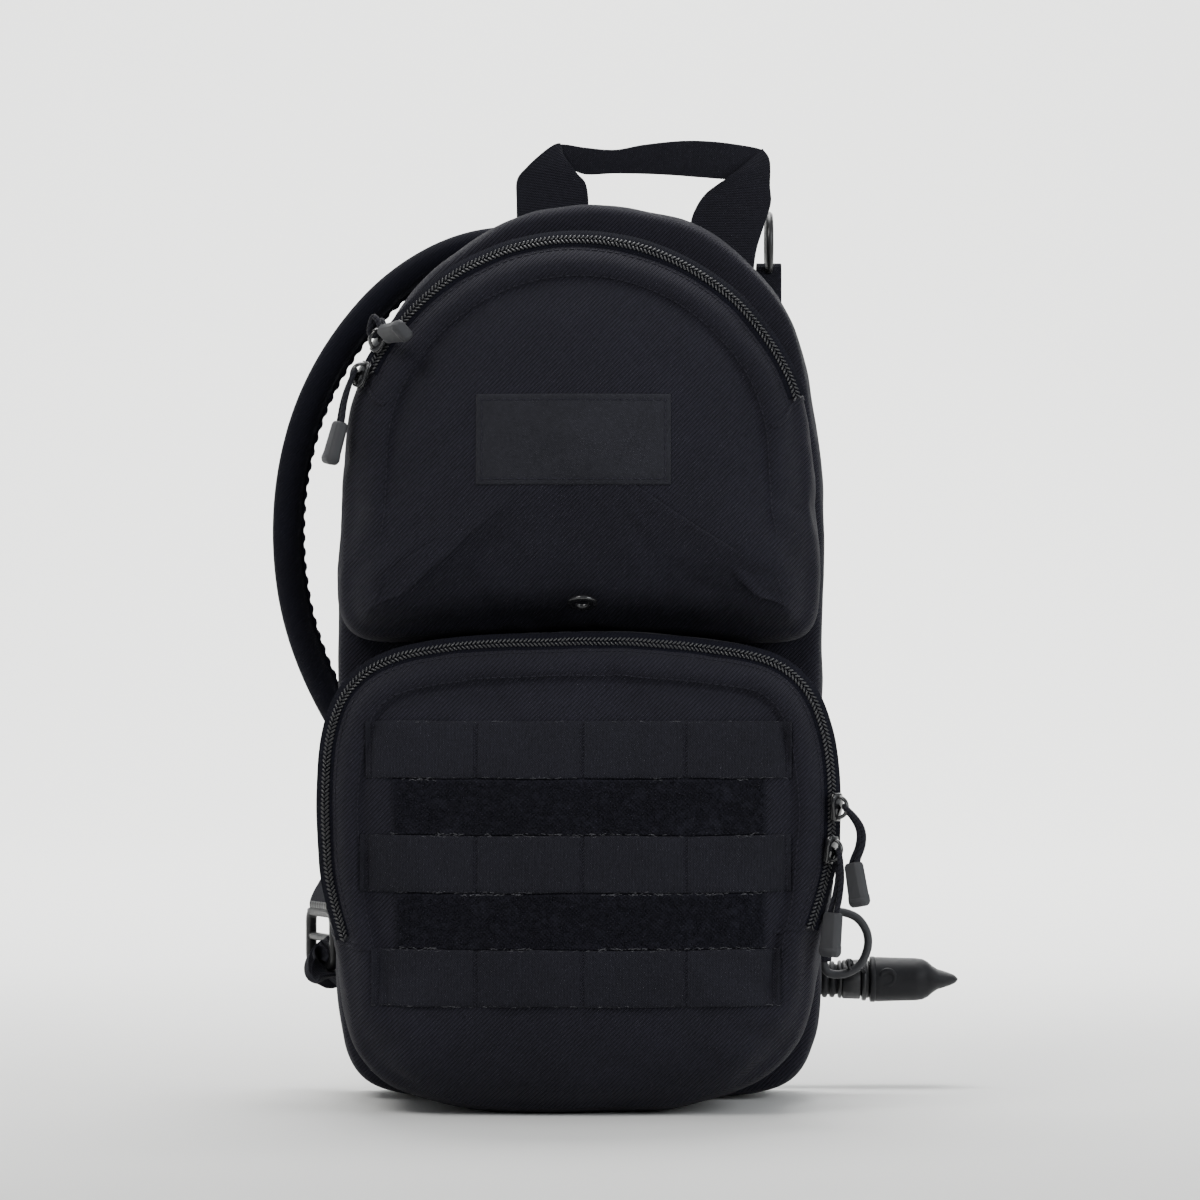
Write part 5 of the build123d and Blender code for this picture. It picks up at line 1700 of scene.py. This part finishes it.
class PACK_OT_locks(bpy.types.Operator):
    """Ladder locks at the feet of the shoulder straps, with their webbing and tabs"""
    bl_idname = "pack.locks"
    bl_label = "Ladder locks"

    def execute(self, context):
        for word, top, turn in (("left", (-122.0, 61.0, 86.0), -65.0), ("right", (101.5, 64.5, 124.0), 0.0)):
            lock = ladder_lock(f"lock_{word}_moulded", top, turn)
            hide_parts(f"ladder_lock_{word}")
            sign = -1 if word == "left" else 1
            foot_x = sign * strap_centre(190.0)[0]
            c, s = math.cos(math.radians(turn)), math.sin(math.radians(turn))
            across_lock = np.array((c, s, 0.0))
            start, end = np.array((foot_x, 66.0, 192.0)), np.array(top) + np.array((0, 0, -4.0))
            rows = 120
            line = smooth_open([start, start * 0.7 + end * 0.3 + np.array((0, 4.0, 0)),
                start * 0.3 + end * 0.7 + np.array((0, 3.0, 0)), end + np.array((0, 0, 8)), end], rows)
            blend = np.clip(np.linspace(-0.4, 1.05, rows), 0, 1)[:, None]
            wide = np.array((1.0, 0, 0)) * (1 - blend) + across_lock * blend
            band = strip_of(f"strap_tail_{word}", line, wide, 25.0, 1.4)
            ride_new(band, "pack", "webbing", f"strap_webbing_{word}")
            out = np.array((-s, c, 0.0))
            seam = np.array((-113.0, 47.0, 62.0) if word == "left" else (101.5, 51.0, 88.0))
            lower = np.array(top) + np.array((0, 0, -28.0))
            loop = smooth_open([seam, seam * 0.4 + lower * 0.6 + out * 2.5,
                lower + out * 3.2 + np.array((0, 0, 2)), lower + np.array((0, 0, 5.5)),
                lower - out * 3.2 + np.array((0, 0, 1)), seam * 0.5 + lower * 0.5 - out * 1.5 + np.array((0, 0,
                -5.0)), seam + np.array((0, 0, -7.0))], 160)
            tab = strip_of(f"lock_webbing_{word}", loop, across_lock, 25.0, 1.4)
            ride_new(tab, "pack", "webbing", f"lock_tab_{word}")
        return {"FINISHED"}


# --- Back: panel, pads and shoulder straps ---
PAD_SEAT, PAD_THICK = 49.0, 10.6        # depth that a pad stands on, and its height
CHANNEL_PITCH = 44.0                    # between two of the pads' cross grooves


def pad(name, outline, node, count=120):
    """Crowned back pad with pulled-in edges, bound round its rim. outline is x, z."""
    loop = smooth_loop(outline, count)
    rings = [at_depth(inset(loop, d), PAD_SEAT + lift) for d, lift in ((1.5, -0.3), (0.0, 1.2), (-0.4, 2.6),
        (0.6, 3.6), (3.4, PAD_THICK * 0.50), (7.0, PAD_THICK * 0.78), (12.0, PAD_THICK * 0.94))]
    base = rings[-1]
    heart = base.mean(0)
    for k in (0.8, 0.6, 0.4, 0.2, 0.06):
        ring = heart + (base - heart) * k
        ring[:, 1] = base[:, 1] + (PAD_THICK - PAD_THICK * 0.94) * (1 - k * k)
        rings.append(ring)
    piece = lofted(name, rings, "mesh")
    for v in piece.data.vertices:
        x, y, z = v.co / MM
        if y > PAD_SEAT + PAD_THICK * 0.6:
            v.co.y -= 1.6 * MM * max(0.0, math.cos(2 * math.pi * z / CHANNEL_PITCH)) ** 10
    roughened(piece, 0.35, 30, 7.0, lambda p: 1.0 if p.y > PAD_SEAT + 4 else 0.0)
    subdivided(piece)
    ride_new(piece, "pack", "mesh_fabric", node)
    rim = inset(loop, -0.3)
    bind = swept(name + "_binding", at_depth(rim, PAD_SEAT + 1.6), rounded_section(3.2, 1.8, 0.8, 2), "webbing",
                 up=at_depth(loop_normals(rim), 0.0), closed=True)
    ride_new(bind, "pack", "webbing")


def strap_centre(z):
    """Centre line of a shoulder strap at a height, and how far its inner face stands off the back."""
    t = (364.0 - z) / 174.0
    inner = 60.3 + 26.0 * (1 - (2 * t - 1) ** 2)
    return 44.0 + 24.0 * math.sin(0.62 * math.pi * t), inner


class PACK_OT_back(bpy.types.Operator):
    """Back panel of spacer mesh with two long pads and a lumbar pad"""
    bl_idname = "pack.back"
    bl_label = "Back panel and pads"

    def execute(self, context):
        loop = smooth_loop(MAIN_OUTLINE, 200)
        rings = []
        for d, y in ((6.5, 45.5), (5.0, 47.0), (5.2, 48.4), (7.0, 49.0), (12.0, 49.1)):
            ring = at_depth(inset(loop, d), y)
            ring[:, 2] = np.maximum(ring[:, 2], 3.0)
            rings.append(ring)
        heart = np.array((0.0, 0.0, 200.0))
        rings += [heart + (rings[-1] - heart) * np.array((k, 1.0, k)) for k in (0.75, 0.5, 0.25, 0.05)]
        panel = lofted("back_panel_mesh", rings, "mesh")
        roughened(panel, 0.35, 28, 2.0, lambda p: 1.0 if p.y > 48.8 else 0.0)
        subdivided(panel)
        ride_new(panel, "pack", "mesh_fabric", "back_panel")
        for sign, word in ((-1, "left"), (1, "right")):
            outline = [(sign * x, z) for x, z in ((14.5, 172), (14, 255), (14.5, 335), (20, 344), (50, 344.5),
                (78, 343), (85, 334), (86, 255), (85, 178), (79, 168.5), (50, 167.5), (20, 168.5))]
            pad(f"back_pad_{word}_mesh", outline, f"back_pad_{word}")
        outline = [(-80, 41), (0, 40.5), (80, 41), (87.5, 50), (88, 92), (86, 134), (78, 143), (0, 143.5),
            (-78, 143), (-86, 134), (-88, 92), (-87.5, 50)]
        pad("lumbar_pad_mesh", outline, "lumbar_pad", 140)
        return {"FINISHED"}


class PACK_OT_shoulder_straps(bpy.types.Operator):
    """Padded shoulder straps with bound edges and a sewn middle channel"""
    bl_idname = "pack.shoulder_straps"
    bl_label = "Shoulder straps"

    def execute(self, context):
        for sign, word in ((-1, "left"), (1, "right")):
            heights = np.concatenate([np.linspace(367.0, 352.0, 6), np.linspace(350.0, 191.0, 60)])
            rings, edges = [], [[], []]
            for z in heights:
                x, inner = strap_centre(min(z, 364.0))
                if z > 352.0:
                    inner = 49.6 + (inner - 49.6) * min(1.0, (367.0 - z) / 16.0)
                end = min(1.0, (z - 189.0) / 12.0) ** 0.5
                half, thick = 26.0 * (0.55 + 0.45 * end), 9.6
                ring = []
                for k in range(28):
                    a = 2 * math.pi * k / 28
                    u, v = math.cos(a), math.sin(a)
                    flat = math.copysign(abs(u) ** 0.45, u) * half
                    crown = math.copysign(abs(v) ** 0.75, v) * thick / 2 * (0.4 + 0.6 * min(1.0,
                        (1 - abs(flat) / half) * 3.2 + 0.1))
                    channel = 1.3 * math.exp(-(flat / 2.4) ** 2) * (v > 0)
                    ring.append((sign * x + flat, inner + thick / 2 + crown - channel, z))
                rings.append(ring)
                for k, edge in enumerate(edges):
                    edge.append((sign * x + (-half if k else half), inner + thick / 2, z))
            strap = lofted(f"shoulder_strap_{word}_mesh", rings, "mesh")
            roughened(strap, 0.4, 24, 3.0 + sign, lambda p: 1.0 if p.z < 345 else 0.0)
            subdivided(strap)
            ride_new(strap, "pack", "mesh_fabric", f"shoulder_strap_{word}")
            edge_line = np.array(edges[0] + edges[1][::-1])[2:-2]
            bind = swept(f"strap_binding_{word}", even(edge_line, 260), rounded_section(3.4, 4.2, 1.4, 2),
                "webbing", up=(0.0, 1.0, 0.0))
            ride_new(bind, "pack", "webbing")
            line = np.array([(sign * strap_centre(z)[0], strap_centre(z)[1] + 8.9, z) for z in np.linspace(340,
                204, 90)])
            for shift, side in ((-1.9, "a"), (1.9, "b")):
                places, outs = snapped(strap, line + np.array((shift, 0, 0)), 0.05)
                stitches(f"strap_channel_{word}_{side}", places, outs, pitch=0.0036)
        return {"FINISHED"}


# --- Eyelets and what stays as engineered ---
class PACK_OT_eyelets(bpy.types.Operator):
    """Rolled metal drain eyelets under both pockets"""
    bl_idname = "pack.eyelets"
    bl_label = "Drain eyelets"

    def execute(self, context):
        lean = math.radians(25.0)
        for word, facing, profile in (("upper", (0.0, -math.sin(lean), -math.cos(lean)),
                [(-1.1, 3.1), (-1.1, 6.6), (0.1, 6.9), (0.8, 6.4), (1.15, 5.2), (1.05, 4.0), (0.4, 3.2),
                (-0.6, 3.05)]), ("lower", (0.0, 0.0, -1.0), [(-1.1, 3.1), (-1.1, 6.9), (0.9, 6.9), (1.15, 6.4),
                (1.15, 4.0), (0.8, 3.3), (-0.6, 3.05)])):
            node = f"{word}_eyelet"
            low, high = (np.array(v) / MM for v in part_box(node))
            ring = turned_ring(f"{word}_drain_eyelet", profile, (low + high) / 2, facing, "gloss_black")
            ride_new(ring, "pack", "slider_metal", node)
        return {"FINISHED"}


def turned_ring(name, profile, origin, axis, material, segments=36):
    """A closed ring from a closed profile of (along, radius)."""
    axis = unit(axis)
    side = unit(np.cross(axis, (1.0, 0.0, 0.0)))
    above = np.cross(axis, side)
    points, faces, n = [], [], len(profile)
    for k in range(segments):
        a = 2 * math.pi * k / segments
        for along, radius in profile:
            points.append(np.array(origin) + axis * along + radius * (math.cos(a) * side + math.sin(a) * above))
    for k in range(segments):
        for i in range(n):
            j, m = (i + 1) % n, (k + 1) % segments
            faces.append((k * n + i, k * n + j, m * n + j, m * n + i))
    return outward(mesh_piece(name, points, faces, material))


class PACK_OT_reservoir(bpy.types.Operator):
    """Finishes of the water reservoir and its fittings, which keep their engineered shape"""
    bl_idname = "pack.reservoir"
    bl_label = "Reservoir finishes"

    def execute(self, context):
        finishes = {"reservoir_bag": "reservoir_film", "inner_tube": "reservoir_film",
            "reservoir_hanger": "webbing", "fill_port": "reservoir_plastic", "fill_cap": "reservoir_plastic",
            "cap_seal": "valve_rubber", "outlet_connector": "reservoir_plastic",
            "release_button": "valve_plastic"}
        for node, finish in finishes.items():
            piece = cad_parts[node]
            if not piece.material_slots:
                piece.data.materials.append(MATERIALS[finish])
            for slot in piece.material_slots:
                slot.material = MATERIALS[finish]
        return {"FINISHED"}


STEPS = (
    PACK_OT_stage, PACK_OT_drinking_tube, PACK_OT_zip_pulls, PACK_OT_pockets, PACK_OT_main_bag, PACK_OT_zips,
    PACK_OT_webbing_rows, PACK_OT_loop_strips, PACK_OT_patch, PACK_OT_seams, PACK_OT_handle,
    PACK_OT_ring_and_port, PACK_OT_side_loop, PACK_OT_locks, PACK_OT_back, PACK_OT_shoulder_straps,
    PACK_OT_eyelets, PACK_OT_reservoir
)


class PACK_PT_build(bpy.types.Panel):
    """Lists the pieces in the order they are made"""
    bl_idname = "PACK_PT_build"
    bl_label = "Hydration pack"
    bl_space_type = "VIEW_3D"
    bl_region_type = "UI"
    bl_category = "Pack"

    def draw(self, context):
        for group in (context.scene.pack_sizes, context.scene.pack_colours):
            box = self.layout.box()
            for name in group.__annotations__:
                box.prop(group, name)
        for step in STEPS:
            self.layout.operator(step.bl_idname)


CLASSES = (PackColours, PackSizes, *STEPS, PACK_PT_build)


def register():
    for cls in CLASSES:
        bpy.utils.register_class(cls)
    bpy.types.Scene.pack_colours = bpy.props.PointerProperty(type=PackColours)
    bpy.types.Scene.pack_sizes = bpy.props.PointerProperty(type=PackSizes)


def unregister():
    del bpy.types.Scene.pack_sizes, bpy.types.Scene.pack_colours
    for cls in reversed(CLASSES):
        bpy.utils.unregister_class(cls)


def main():
    register()
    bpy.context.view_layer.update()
    build_materials()
    for step in STEPS:
        getattr(bpy.ops.pack, step.bl_idname.split(".")[1])()


if __name__ == "__main__":
    main()
